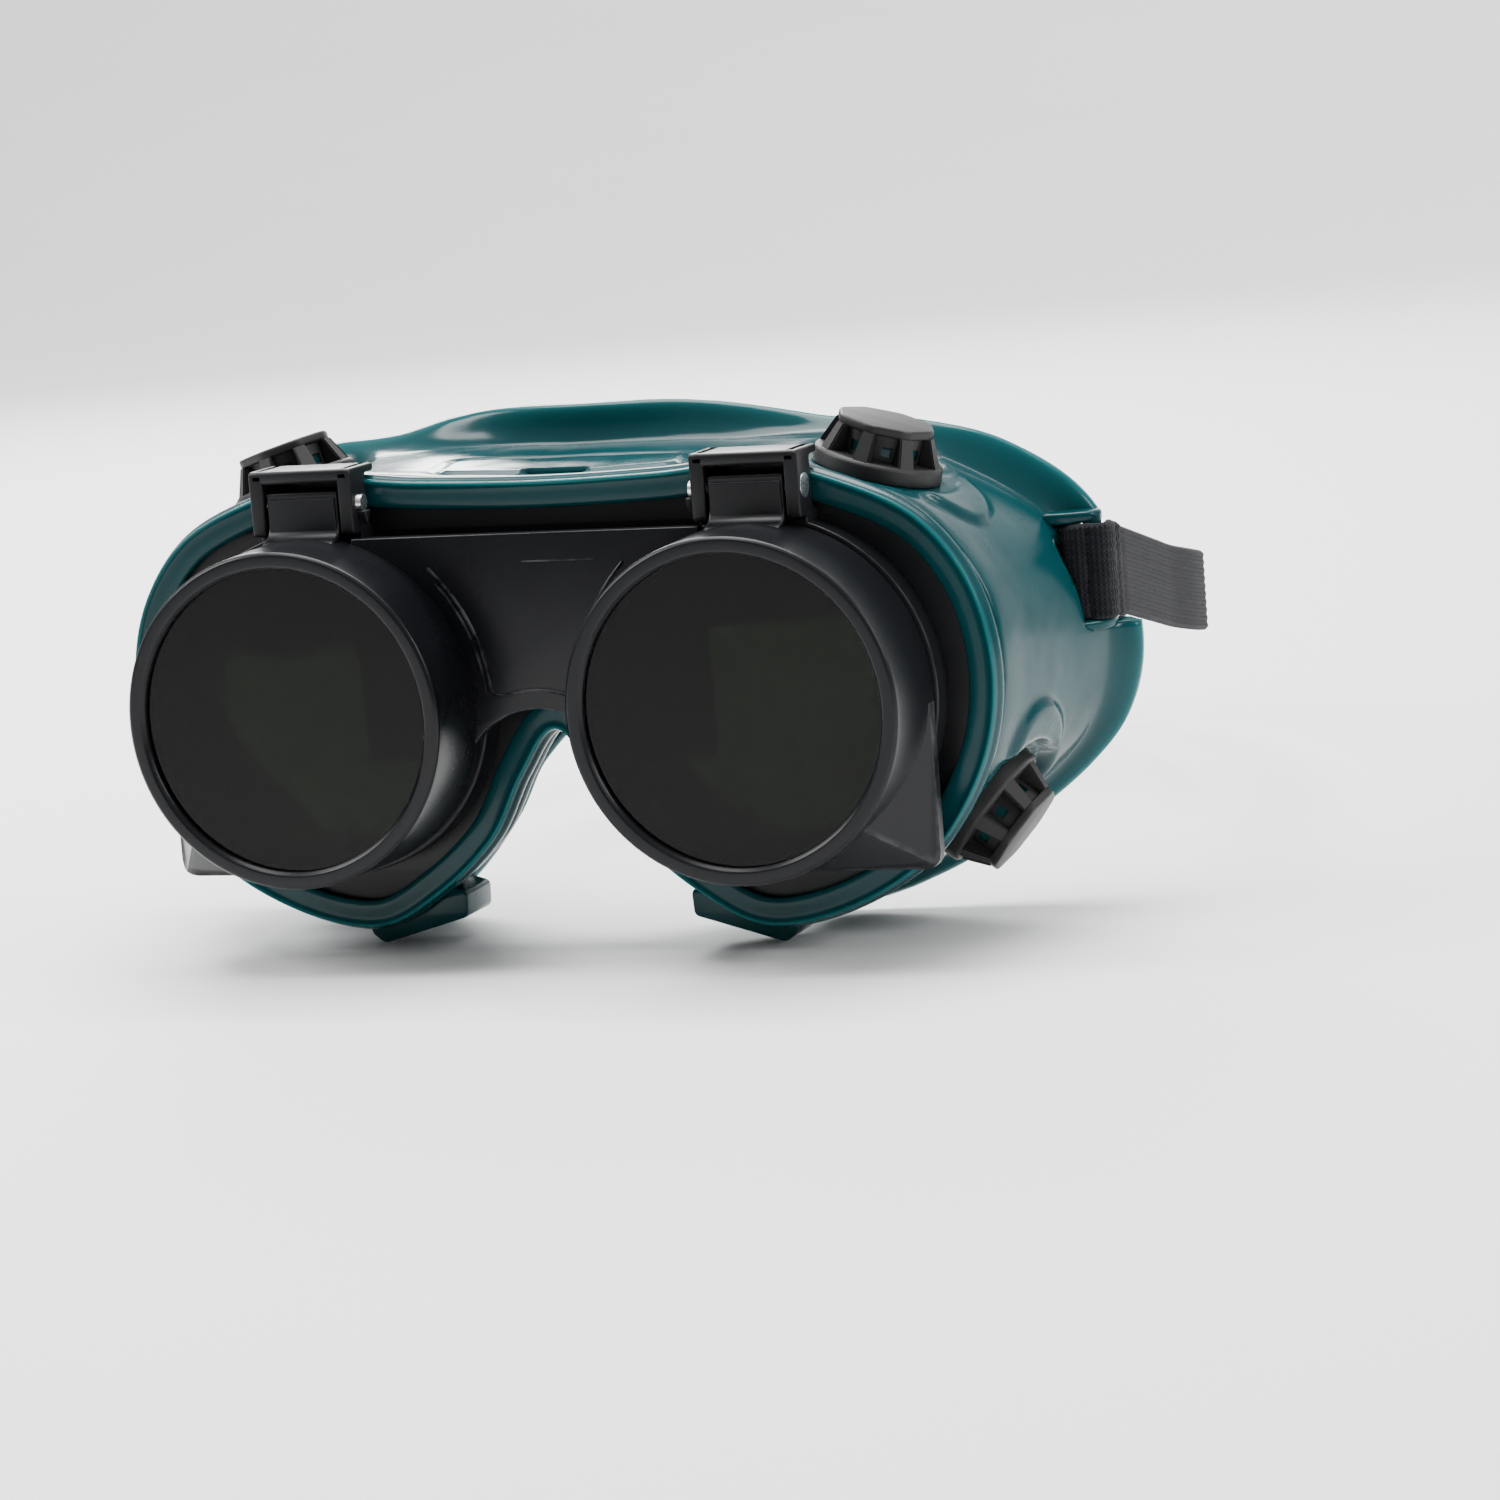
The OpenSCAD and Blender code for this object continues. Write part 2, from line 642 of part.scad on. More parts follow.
// plastic slide that holds the strap's two layers together on the wearer's right
slider_at = 27;
slider_len = 9;
slider_wall = 1.5;
slider_gap = 0.45;
module strap_slider() {
    layers = 2 * strap_t + layer_gap;
    mid = lay_point(wrap_r - (strap_t + layer_gap) / 2, slider_at);
    wide = layers + 2 * slider_gap;
    high = strap_w + 2 * slider_gap;
    color("#1a1b1e") translate([-mid[0], mid[1], strap_z(mid[1])])
        rotate([-atan(strap_slope), 0, 0]) rotate([0, 0, atan(side_lean)]) difference() {
            cube([wide + 2 * slider_wall, slider_len, high + 2 * slider_wall], center = true);
            cube([wide, slider_len + 2, high], center = true);
            for (end = [-1, 1])
                translate([-layers, end * slider_len / 4, 0])
                    cube([layers + 2, slider_len / 4, high], center = true);
        }
}

mask_body();
lens_frame();
flip_front();
filter_lens(1);  // filter_lens_left
filter_lens(-1);  // filter_lens_right
lens_ring(1, cup_lip + filter_t);  // filter_ring_left
lens_ring(-1, cup_lip + filter_t);  // filter_ring_right
clear_lens(1);  // clear_lens_left
clear_lens(-1);  // clear_lens_right
lens_ring(1, frame_back + clear_t);  // clear_ring_left
lens_ring(-1, frame_back + clear_t);  // clear_ring_right
hinge_pin(1);  // hinge_pin_left
hinge_pin(-1);  // hinge_pin_right
vent_cap(false, 1);  // vent_cap_top_left
vent_cap(false, -1);  // vent_cap_top_right
vent_cap(true, 1);  // vent_cap_low_left
vent_cap(true, -1);  // vent_cap_low_right
vent_baffle(false, 1);  // vent_baffle_top_left
vent_baffle(false, -1);  // vent_baffle_top_right
vent_baffle(true, 1);  // vent_baffle_low_left
vent_baffle(true, -1);  // vent_baffle_low_right
head_strap();
strap_slider();
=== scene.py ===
# Flip-front welding goggles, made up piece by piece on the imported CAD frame.
from math import ceil, cos, hypot, pi, radians, sin, sqrt

import bmesh
import bpy
import numpy as np
from mathutils import Matrix, Vector, noise


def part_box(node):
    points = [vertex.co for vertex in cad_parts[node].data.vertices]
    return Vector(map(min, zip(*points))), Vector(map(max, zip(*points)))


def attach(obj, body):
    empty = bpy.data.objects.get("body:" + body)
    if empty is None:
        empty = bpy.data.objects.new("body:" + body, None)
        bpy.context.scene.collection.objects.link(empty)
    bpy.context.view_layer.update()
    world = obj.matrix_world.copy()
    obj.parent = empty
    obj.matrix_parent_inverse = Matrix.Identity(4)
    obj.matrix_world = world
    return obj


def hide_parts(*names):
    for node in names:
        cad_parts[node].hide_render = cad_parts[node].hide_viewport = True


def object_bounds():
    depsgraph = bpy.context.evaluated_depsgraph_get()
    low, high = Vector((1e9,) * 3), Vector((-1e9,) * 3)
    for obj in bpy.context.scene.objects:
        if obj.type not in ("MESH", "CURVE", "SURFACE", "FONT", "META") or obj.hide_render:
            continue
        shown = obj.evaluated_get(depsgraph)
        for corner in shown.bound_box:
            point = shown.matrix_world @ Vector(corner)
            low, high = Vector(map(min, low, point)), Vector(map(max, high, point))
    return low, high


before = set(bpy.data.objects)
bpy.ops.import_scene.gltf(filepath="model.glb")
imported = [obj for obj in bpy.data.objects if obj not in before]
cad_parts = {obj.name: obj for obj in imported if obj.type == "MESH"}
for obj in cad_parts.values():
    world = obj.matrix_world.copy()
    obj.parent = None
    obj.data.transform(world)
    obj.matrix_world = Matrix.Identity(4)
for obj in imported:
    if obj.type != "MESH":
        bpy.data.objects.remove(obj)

cad_bounds = [list(corner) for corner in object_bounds()]

# ----------
# Camera, floor and studio light.
# The goggles stand on a pale table that sweeps up behind them, seen a little from the wearer's
# left and from above: one large soft light overhead, smaller ones at both sides and behind.
MM = 0.001
VIEW_TARGET = Vector((40, -64, -5.65)) * MM
VIEW_AZIMUTH, VIEW_ELEVATION, VIEW_ROLL = radians(20.96), radians(9.19), radians(-4.56)
VIEW_DISTANCE = 702.45 * MM
FLOOR_GAP = 0.4 * MM

back = Vector((sin(VIEW_AZIMUTH) * cos(VIEW_ELEVATION),
               -cos(VIEW_AZIMUTH) * cos(VIEW_ELEVATION), sin(VIEW_ELEVATION)))
right = Vector((cos(VIEW_AZIMUTH), sin(VIEW_AZIMUTH), 0))
upward = back.cross(right)
camera_x = cos(VIEW_ROLL) * right + sin(VIEW_ROLL) * upward
camera_y = back.cross(camera_x)


def place_object(name, data):
    """A new object with that data, in the scene."""
    thing = bpy.data.objects.new(name, data)
    bpy.context.scene.collection.objects.link(thing)
    return thing


def set_up(thing, **values):
    """Sets several of a thing's properties, and gives it back."""
    for key, value in values.items():
        setattr(thing, key, value)
    return thing


lens_data = set_up(bpy.data.cameras.new("view_camera"), lens=113.24, sensor_width=36, clip_start=0.01)
camera = place_object("view_camera", lens_data)
camera.matrix_world = Matrix.LocRotScale(
    VIEW_TARGET + back * VIEW_DISTANCE,
    Matrix((camera_x, camera_y, back)).transposed().to_quaternion(),
    Vector((1, 1, 1)),
)
bpy.context.scene.camera = camera


def feed(node, **values):
    """Sets a node's inputs, each to a constant or from a socket."""
    for key, value in values.items():
        socket = node.inputs[key.replace("_", " ")]
        if isinstance(value, bpy.types.NodeSocket):
            node.id_data.links.new(value, socket)
        else:
            socket.default_value = value


def put(tree, kind, **values):
    """A shader node of that kind, with values set on its properties or else on its inputs."""
    node = tree.nodes.new("ShaderNode" + kind)
    for key, value in values.items():
        if hasattr(node, key):
            setattr(node, key, value)
        else:
            feed(node, **{key: value})
    return node


def map_value(value, low, high, to_low=0.0, to_high=1.0, **values):
    """A value spread from one range to another, held inside it."""
    return put(value.id_data, "MapRange", Value=value, From_Min=low, From_Max=high,
               To_Min=to_low, To_Max=to_high, **values).outputs["Result"]


def new_material(name, **values):
    """A material with a bare Principled BSDF, whose constant values are set on its own sockets."""
    material = bpy.data.materials.new(name)
    material.use_nodes = True
    shader = material.node_tree.nodes["Principled BSDF"]
    feed(shader, **values)
    return material, material.node_tree, shader


floor_mesh = bpy.data.meshes.new("table_top")
FLOOR_HALF, SWEEP_FROM, SWEEP_R, SWEEP_STEPS = 24, 1.3, 1.6, 24
floor_z = cad_bounds[0][2] - FLOOR_GAP
turns = [0.5 * pi * k / SWEEP_STEPS for k in range(SWEEP_STEPS + 1)]
profile = [(-FLOOR_HALF, floor_z)]
profile += [(SWEEP_FROM + SWEEP_R * sin(a), floor_z + SWEEP_R * (1 - cos(a))) for a in turns]
floor_mesh.from_pydata(
    [(x, y, z) for y, z in profile for x in (-FLOOR_HALF, FLOOR_HALF)],
    [], [(2 * k, 2 * k + 1, 2 * k + 3, 2 * k + 2) for k in range(len(profile) - 1)],
)
floor_mesh.shade_smooth()
floor = place_object("table_top", floor_mesh)
table_paint, tree, shader = new_material("table_paint", Roughness=0.75)
speckle = put(tree, "TexNoise", Scale=40.0, Detail=3.0)
tone = put(tree, "ValToRGB", Fac=speckle.outputs["Fac"])
for stop, grey in zip(tone.color_ramp.elements, (0.80, 0.86)):
    stop.color = (grey, grey, grey, 1)
feed(shader, Base_Color=tone.outputs["Color"])
floor_mesh.materials.append(table_paint)

world = bpy.data.worlds.new("studio")
bpy.context.scene.world = world
world.use_nodes = True
# the room's glow: brightest behind the goggles, dim ahead of them where the dark room is
BEHIND, OVERHEAD, AHEAD = 1.6, 0.9, 0.07
tree = world.node_tree
heading = put(tree, "SeparateXYZ",
              Vector=put(tree, "TexCoord").outputs["Generated"]).outputs
level = map_value(heading["Y"], -0.15, 0.8, AHEAD, BEHIND, interpolation_type="SMOOTHSTEP")
glow = put(tree, "Mix", Factor=map_value(heading["Z"], 0.15, 0.9), A=level, B=OVERHEAD)
feed(tree.nodes["Background"], Color=(1, 1, 1, 1), Strength=glow.outputs["Result"])


def softbox(name, place, aim, size, watts):
    """A rectangular area light, aimed from place to aim."""
    data = set_up(bpy.data.lights.new(name, "AREA"), shape="RECTANGLE", size=size[0], size_y=size[1],
                  energy=watts)
    light = place_object(name, data)
    light.location = place
    light.rotation_euler = (Vector(aim) - Vector(place)).to_track_quat("-Z", "Y").to_euler()


MIDDLE = (0, -0.02, 0)
softbox("overhead_softbox", (-0.1, 0.1, 0.95), MIDDLE, (0.8, 0.55), 20)
softbox("left_softbox", (-0.8, -0.25, 0.6), MIDDLE, (0.3, 0.5), 9)
softbox("right_softbox", (0.95, -0.1, 0.45), (0.05, -0.02, 0), (0.2, 0.4), 5)
softbox("rear_softbox", (-0.5, 0.9, 0.5), MIDDLE, (0.5, 0.25), 10)
softbox("sweep_softbox", (0, 0.9, 2.2), (0, 2.6, 0.5), (3, 0.5), 90)

# ----------
# Mask body.
# A soft PVC moulding: a flat front lip with a thin outer bead, a grooved rim, a thin wall that
# swells back to the face and a turned-out flange. It carries the vent seats and the strap lugs.
lens_low, lens_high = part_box("filter_lens_left")
LENS_X = (lens_low.x + lens_high.x) / 2 / MM
LENS_R = (lens_high.x - lens_low.x) / 2 / MM
FRONT_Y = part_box("flip_front")[0].y / MM
RIM_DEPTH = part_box("mask_body")[0].y / MM - FRONT_Y
RIM_MARGIN = 10.3
MASK_TOP = LENS_R + RIM_MARGIN
MASK_WALL = 2.0
LIP_W, LIP_T = 4.4, 1.7
GROOVE_IN = 2.0
FRAME_T = 2.0
FRAME_FRONT = RIM_DEPTH + LIP_T + 0.05
FRAME_BACK = FRAME_FRONT + FRAME_T
LEDGE_IN, LEDGE_T = 5.2, 1.6

# Each row: the rim's point as [angle round the lens, distance past the margin], the step from there
# to the neck [x, y from the face, z], and from the neck to the flange's edge [x, y, z].
MASK_ROWS = (
    ((91, 0), (1, -16.5, 0.5), (0, 5.5, 2.8)),
    ((68, -0.8), (0.5, -13, 1.2), (0.2, 6, 3.8)),
    ((46, 0.8), (1, -9, 1), (1.4, 5.5, 5.6)),
    ((24.5, 1), (3.6, -6, 2.8), (3.4, 5.2, 4.2)),
    ((1.6, 0.3), (6.9, -5, 2), (3.9, 5, 0)),
    ((-21.8, -0.3), (6.5, -6.5, 0.5), (3.8, 5.5, -0.5)),
    ((-47.9, -0.25), (2.5, -11, 1.4), (3.5, 5.5, -1.2)),
    ((-73.7, 0.3), (3, -15.5, 1.6), (2, 4.5, -2.4)),
    ((-96.2, 1.7), (3, -18, 0.4), (0.5, 3.5, -2.6)),
    ((-115.5, -0.4), (4.5, -20.5, 0.5), (0.5, 3, -2.6)),
    ((-137.6, -1.5), (4.5, -24, 2), (0.5, 3, -2.4)),
    ((-158, -1.9), (3.3, -27, 1.3), (0.5, 3, -1.8)),
)
# how finely each stretch between two rows is divided: closer at the brow's panel and at the lug
ROW_STEPS = (16, 16, 14, 14, 24, 34, 22, 14, 12, 12, 12, 10, 10, 10)


def lens_polar(angle, past):
    """The x and z of a point at that angle round the left lens, past the rim's margin."""
    reach = MASK_TOP + past
    return LENS_X + reach * cos(radians(angle)), reach * sin(radians(angle))


def whole(half):
    """A closed outline from its left half, whose ends lie on the mid-plane."""
    half = np.array(half, float)
    mirrored = half[-2:0:-1].copy()
    mirrored[:, 0] *= -1
    return np.concatenate([half, mirrored])


def curve_point(a, b, c, d, t):
    """The point that far along from b to c on a Catmull-Rom curve through all four."""
    return 0.5 * (2 * b + (c - a) * t + (2 * a - 5 * b + 4 * c - d) * t**2
                  + (3 * b - a - 3 * c + d) * t**3)


def through(points, steps):
    """A closed Catmull-Rom curve through points, with that many steps on each stretch."""
    count = len(points)
    return np.array([
        curve_point(*(points[(i + k) % count] for k in (-1, 0, 1, 2)), step / steps[i])
        for i in range(count) for step in range(steps[i])
    ])


def outline_normals(points):
    """Outward unit normals of a clockwise outline, from its first and last coordinates."""
    ahead = np.roll(points, -1, 0) - np.roll(points, 1, 0)
    normals = np.stack([-ahead[:, -1], ahead[:, 0]], 1)
    return normals / np.linalg.norm(normals, axis=1)[:, None]


rim_half = [(0, MASK_TOP - 1.5), (LENS_X - 17, MASK_TOP - 1)]
rim_half += [lens_polar(*row[0]) for row in MASK_ROWS] + [(0, -5.4)]
neck_steps = [(0, -21, 3.2), (-1, -20, 2.5)] + [row[1] for row in MASK_ROWS] + [(0, -28.5, 1)]
edge_steps = [(0, 3.5, 6), (0, 4.5, 5.6)] + [row[2] for row in MASK_ROWS] + [(0, 2.5, -2.2)]
neck_half = [(r[0] + s[0], s[1], r[1] + s[2]) for r, s in zip(rim_half, neck_steps)]
edge_half = [tuple(np.add(n, s)) for n, s in zip(neck_half, edge_steps)]
steps_round = ROW_STEPS + ROW_STEPS[::-1]
rim_line = through(whole(rim_half), steps_round)
neck_line = through(whole(neck_half), steps_round)
edge_line = through(whole(edge_half), steps_round)
rim_out = outline_normals(rim_line)


def rim_row(inset, depth):
    """The rim's outline moved in by inset, at that depth behind the cups' front."""
    flat = rim_line - inset * rim_out
    return np.stack([flat[:, 0], np.full(len(flat), FRONT_Y + depth), flat[:, 1]], 1)


def face_row(line, inset, lift):
    """An outline at the face moved in by inset and back by lift."""
    out = outline_normals(line)
    return line + np.stack([-inset * out[:, 0], np.full(len(line), lift), -inset * out[:, 1]], 1)


def wall_row(s, inset):
    """The wall part of the way from the rim to the neck, moved in by inset."""
    start = rim_row(0, RIM_DEPTH + 6.6)
    bulge = s + 0.35 * s * (s - 1)
    row = start + (neck_line - start) * np.array([bulge, s, bulge])
    return row - inset * np.stack([rim_out[:, 0], np.zeros(len(row)), rim_out[:, 1]], 1)


# the lip, the bead on it and the grooved rim, as (inset, depth behind the rim's front)
LIP_AND_RIM = (
    (LIP_W, 0.7), (LIP_W - 0.25, 0.45), (1.3, 0.4), (0.85, 0.32), (0.55, 0), (0.25, 0.02), (0.1, 0.5),
    (0.05, 0.9), (-0.45, 1.8), (-0.5, 2.8), (0, 3.9), (0.95, 4.6), (1, 5), (0.3, 5.6),
)
# the ledge and the groove that hold the lens frame, as (inset, depth behind the cups' front)
LEDGE_AND_GROOVE = (
    (MASK_WALL + 0.6, FRAME_BACK + LEDGE_T + 1.6), (LEDGE_IN - 0.4, FRAME_BACK + LEDGE_T + 0.05),
    (LEDGE_IN, FRAME_BACK + LEDGE_T - 0.3), (LEDGE_IN, FRAME_BACK + 0.35),
    (LEDGE_IN - 0.3, FRAME_BACK + 0.05), (GROOVE_IN, FRAME_BACK + 0.05),
    (GROOVE_IN, RIM_DEPTH + LIP_T), (LIP_W - 0.3, RIM_DEPTH + LIP_T),
    (LIP_W, RIM_DEPTH + LIP_T - 0.3),
)
outer_rows = [rim_row(inset, RIM_DEPTH + depth) for inset, depth in LIP_AND_RIM]
outer_rows += [wall_row(s, 0) for s in (0, 0.2, 0.45, 0.72, 0.93)]
outer_rows += [
    face_row(neck_line, 0, 0), face_row(neck_line * 0.6 + edge_line * 0.4, 0.3, -0.2),
    face_row(edge_line, 0.5, -1.5), face_row(edge_line, 0, -0.6),
]
inner_rows = [
    face_row(edge_line, 0.3, 0.7), face_row(edge_line, 1.1, 1), face_row(neck_line, MASK_WALL, 1.5),
]
inner_rows += [wall_row(s, MASK_WALL) for s in (0.72, 0.45, 0.2)]
inner_rows += [rim_row(inset, depth) for inset, depth in LEDGE_AND_GROOVE]
WALL_PITCH = 0.75


def loft(rows, pitch):
    """Rows of points round a closed section, filled in with smooth rows about pitch apart.
    Also gives, for each new row, its place counted in given rows."""
    count = len(rows)
    gaps = [np.linalg.norm(rows[(i + 1) % count] - rows[i], axis=1) for i in range(count)]
    knots = [sqrt(g.mean()) for g in gaps]
    out, place = [], []
    for i in range(count):
        p0, p1, p2, p3 = (rows[(i + k) % count] for k in (-1, 0, 1, 2))
        k0, k1, k2 = knots[i - 1], knots[i], knots[(i + 1) % count]
        start = (p2 - p1) / k1 - (p2 - p0) / (k0 + k1) + (p1 - p0) / k0
        end = (p3 - p2) / k2 - (p3 - p1) / (k1 + k2) + (p2 - p1) / k1
        pieces = max(1, ceil(gaps[i].max() / pitch))
        for k in range(pieces):
            t = k / pieces
            out.append(p1 * (1 + 2 * t) * (1 - t) ** 2 + p2 * t * t * (3 - 2 * t)
                       + start * k1 * t * (1 - t) ** 2 + end * k1 * t * t * (t - 1))
            place.append(i + t)
    return np.array(out), np.array(place)


def ease(low, high, value):
    """0 below low, 1 above high and a smooth turn between."""
    t = np.clip((value - low) / (high - low), 0, 1)
    return t * t * (3 - 2 * t)


def grid_normals(grid):
    """Outward unit normals of a grid of rows that closes both ways."""
    across = np.roll(grid, -1, 0) - np.roll(grid, 1, 0)
    along = np.roll(grid, -1, 1) - np.roll(grid, 1, 1)
    normals = np.cross(across, along)
    return normals / np.maximum(np.linalg.norm(normals, axis=2), 1e-9)[:, :, None]


mask_grid, mask_place = loft(outer_rows + inner_rows, WALL_PITCH)
outside = (mask_place <= len(outer_rows) - 1)[:, None]
on_wall = ease(12.6, 13.6, mask_place)[:, None] * outside
normals = grid_normals(mask_grid)
x, y, z = (mask_grid[:, :, k] for k in range(3))

# the moulding's own unevenness, long and short, so that its reflections wander a little
UNEVEN = ((0.30, 0.045), (0.14, 0.13), (0.035, 0.33))
waves = np.array([
    [sum(part * noise.noise(Vector(p) * per_mm) for part, per_mm in UNEVEN) for p in row]
    for row in mask_grid
])
lift = waves * on_wall

# a raised line round a plain panel on the brow, beside the slot
LINE_H, LINE_HALF_W, PANEL_SINK = 0.38, 0.55, 0.25
PANEL_X, PANEL_Y, PANEL_HALF_W, PANEL_HALF_D, PANEL_R = 0, -31.5, 21, 4.4, 3.0
over = np.stack([np.abs(x - PANEL_X) - PANEL_HALF_W + PANEL_R,
                 np.abs(y - PANEL_Y) - PANEL_HALF_D + PANEL_R])
edge_distance = np.hypot(*np.maximum(over, 0)) + np.minimum(over.max(0), 0) - PANEL_R
on_brow = (z > 25) & outside
lift += on_brow * LINE_H * np.exp(-(edge_distance / LINE_HALF_W) ** 2)
lift -= on_brow * PANEL_SINK * (1 - ease(-1.2, -0.4, edge_distance))
mask_grid += normals * lift[:, :, None]

# flat vent seats, each in a shallow trough with a round end
VENT_Y, VENT_SINK, SEAT_T, SEAT_R = -24.5, -1.85, 2.4, 11.3
TOP_RAY, LOW_RAY, TOP_TILT = 68.3, -38.8, 17
TROUGH_REACH, TROUGH_R, TROUGH_DEEP = 10.5, 8.6, 1.0
SIDES = ((1, "left"), (-1, "right"))
VENTS = [(place, side, word) for place in ("top", "low") for side, word in SIDES]


def vent_frame(place, side):
    """The middle of a vent's seat, its axis, and the direction along the mask to the temple."""
    ray, tilt = (TOP_RAY, TOP_TILT) if place == "top" else (LOW_RAY, 90 - LOW_RAY)
    cx, cz = lens_polar(ray, VENT_SINK)
    axis = Vector((side * sin(radians(tilt)), 0, cos(radians(tilt))))
    to_temple = Vector((side * cos(radians(tilt)), 0, -sin(radians(tilt))))
    return Vector((side * cx, VENT_Y, cz)), axis, to_temple if place == "top" else -to_temple


SEAT_NEAR, SEAT_LIFT = 14, -0.06
OUTSIDE_BLEND, INSIDE_BLEND = (SEAT_R, SEAT_R + 2.6), (8.4, 11.6)
for place, side, _ in VENTS:
    middle, axis, to_temple = (np.array(v) for v in vent_frame(place, side))
    offset = mask_grid - middle
    u, v = offset @ to_temple, offset[:, :, 1]
    near = (np.abs(offset @ axis) < SEAT_NEAR) & (mask_grid[:, :, 0] * side > 0)
    trough = np.hypot(u - np.clip(u, 0, TROUGH_REACH), v) - TROUGH_R
    dent = TROUGH_DEEP * (1 - ease(-1.3, 0.7, trough)) * near * on_wall
    mask_grid -= normals * dent[:, :, None]
    radius = np.hypot(u, v)
    flat = np.where(outside, 1 - ease(*OUTSIDE_BLEND, radius), 1 - ease(*INSIDE_BLEND, radius)) * near
    flat *= np.where(outside, on_wall, 1)
    height = (mask_grid - middle) @ axis
    mask_grid += (flat * (np.where(outside, SEAT_LIFT, -SEAT_T) - height))[:, :, None] * axis

# strap pockets, sunk into both sides so that the strap can turn round its bar
LUG_Y, LUG_Z, BAR_R = -5.5, 12, 1.5
BAR_X = LENS_X + MASK_TOP + 5.5
STRAP_W, STRAP_T = 14, 1.6
EAR_GAP, EAR_T = STRAP_W + 2.4, 1.8
POCKET_FLOOR = BAR_X - 5.2
POCKET_FRONT = LUG_Y - 4.7
LUG_OUT = BAR_X + 2.8
x, y, z = (mask_grid[:, :, k] for k in range(3))
sunk = 1 - ease(EAR_GAP / 2 - 0.35, EAR_GAP / 2 + 0.55, np.abs(z - LUG_Z))
sunk *= ease(POCKET_FRONT - 1.1, POCKET_FRONT + 0.5, y)
floor_x = np.where(outside, POCKET_FLOOR, POCKET_FLOOR - MASK_WALL)
reach = np.abs(x)
mask_grid[:, :, 0] = np.sign(x) * (reach + sunk * np.minimum(floor_x - reach, 0))


def new_mesh(name, points, faces):
    """A bare mesh from points in millimetres."""
    mesh = bpy.data.meshes.new(name)
    mesh.from_pydata([tuple(p) for p in np.asarray(points, float) * MM], [], faces)
    return mesh


# short, sharply turned edges are marked to be painted paler: partly rub wear, partly a painted
# highlight
RUB_AND_SHINE_EDGE, RUB_AND_SHINE_TURN = 3 * MM, radians(24)


def dress(mesh, name, body, material, sharp=40):
    """Closes, shades and paints a mesh, marks where its edges rub and take a painted highlight, and
    lets it ride on its body.
    It is smooth but for edges sharper than that angle."""
    work = bmesh.new()
    work.from_mesh(mesh)
    bmesh.ops.remove_doubles(work, verts=work.verts, dist=1e-7)
    bmesh.ops.recalc_face_normals(work, faces=work.faces)
    for face in work.faces:
        face.smooth = True
    for edge in work.edges:
        edge.smooth = len(edge.link_faces) == 2 and edge.calc_face_angle(0) < radians(sharp)
    rubbed_and_lit = []
    for vertex in work.verts:
        small = all(edge.calc_length() < RUB_AND_SHINE_EDGE for edge in vertex.link_edges)
        turns = [e.calc_face_angle_signed(0) for e in vertex.link_edges if len(e.link_faces) == 2]
        rubbed_and_lit.append(1.0 if small and turns and max(turns) > RUB_AND_SHINE_TURN else 0.0)
    work.to_mesh(mesh)
    work.free()
    mesh.attributes.new("worn_lit_edge", "FLOAT", "POINT").data.foreach_set("value", rubbed_and_lit)
    mesh.materials.append(material)
    piece = place_object(name, mesh)
    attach(piece, body)
    return piece


def grid_faces(rows, columns, close_rows=True, close_columns=True):
    """Quads over a grid of points, row by row."""
    return [
        (r * columns + c, r * columns + (c + 1) % columns,
         (r + 1) % rows * columns + (c + 1) % columns, (r + 1) % rows * columns + c)
        for r in range(rows - (not close_rows)) for c in range(columns - (not close_columns))
    ]


def soften(points, radius, steps=4):
    """A closed outline with each corner turned into an arc of about that radius."""
    points = [Vector(p) for p in points]
    out = []
    for i, here in enumerate(points):
        before, after = points[i - 1] - here, points[(i + 1) % len(points)] - here
        cut = min(radius, 0.45 * before.length, 0.45 * after.length)
        a, b = here + before.normalized() * cut, here + after.normalized() * cut
        for k in range(steps + 1):
            t = k / steps
            out.append(a * (1 - t) ** 2 + here * 2 * t * (1 - t) + b * t * t)
    return out


def settle(mesh, to_row):
    """Scales a mesh from millimetres and sets it in place."""
    mesh.transform(Matrix.Scale(MM, 4) @ to_row)
    return mesh


def final_mesh(thing):
    """An object's mesh as its curve or its modifiers make it."""
    bpy.context.view_layer.update()
    return bpy.data.meshes.new_from_object(
        thing.evaluated_get(bpy.context.evaluated_depsgraph_get()))


def drawn_mesh(lines, kind, run, to_row, **values):
    """A mesh from lines drawn in millimetres, as splines set like run on a curve with those values."""
    curve = set_up(bpy.data.curves.new("drawn", "CURVE"), **values)
    for line in lines:
        spline = curve.splines.new(kind)
        spline.points.add(len(line) - 1)
        for point, spot in zip(spline.points, line):
            point.co = (*spot, 1)
        set_up(spline, **run)
    shape = place_object("drawn", curve)
    mesh = final_mesh(shape)
    bpy.data.objects.remove(shape)
    return settle(mesh, to_row)


def worked_mesh(work):
    """The mesh of some bmesh work, which is then done with."""
    mesh = bpy.data.meshes.new("worked")
    work.to_mesh(mesh)
    work.free()
    return mesh


def plate_mesh(loops, thick, edge, to_row):
    """A flat plate with rounded edges from closed loops, the later ones holes."""
    return drawn_mesh(
        [[(p[0], p[1], 0) for p in loop] for loop in loops], "POLY", {"use_cyclic_u": True}, to_row,
        dimensions="2D", fill_mode="BOTH", extrude=thick / 2 - edge, bevel_depth=edge,
        bevel_resolution=2, offset=-edge)


def facing_front(depth):
    """Sets a plate drawn in x and z upright, with its middle at that depth behind the cups' front."""
    return Matrix.Translation((0, FRONT_Y + depth, 0)) @ Matrix.Rotation(radians(90), 4, "X")


def facing_side(x):
    """Sets a plate drawn as depth and z upright across x, with its middle at that x."""
    return Matrix(((0, 0, 1, x), (1, 0, 0, FRONT_Y), (0, 1, 0, 0), (0, 0, 0, 1)))


def merge(meshes):
    """Several meshes as one."""
    work = bmesh.new()
    for mesh in meshes:
        work.from_mesh(mesh)
    return worked_mesh(work)


def standing(middle, axis):
    """Turns what is drawn upright to stand on middle, along an axis."""
    return Matrix.Translation(middle) @ Vector((0, 0, 1)).rotation_difference(axis).to_matrix().to_4x4()


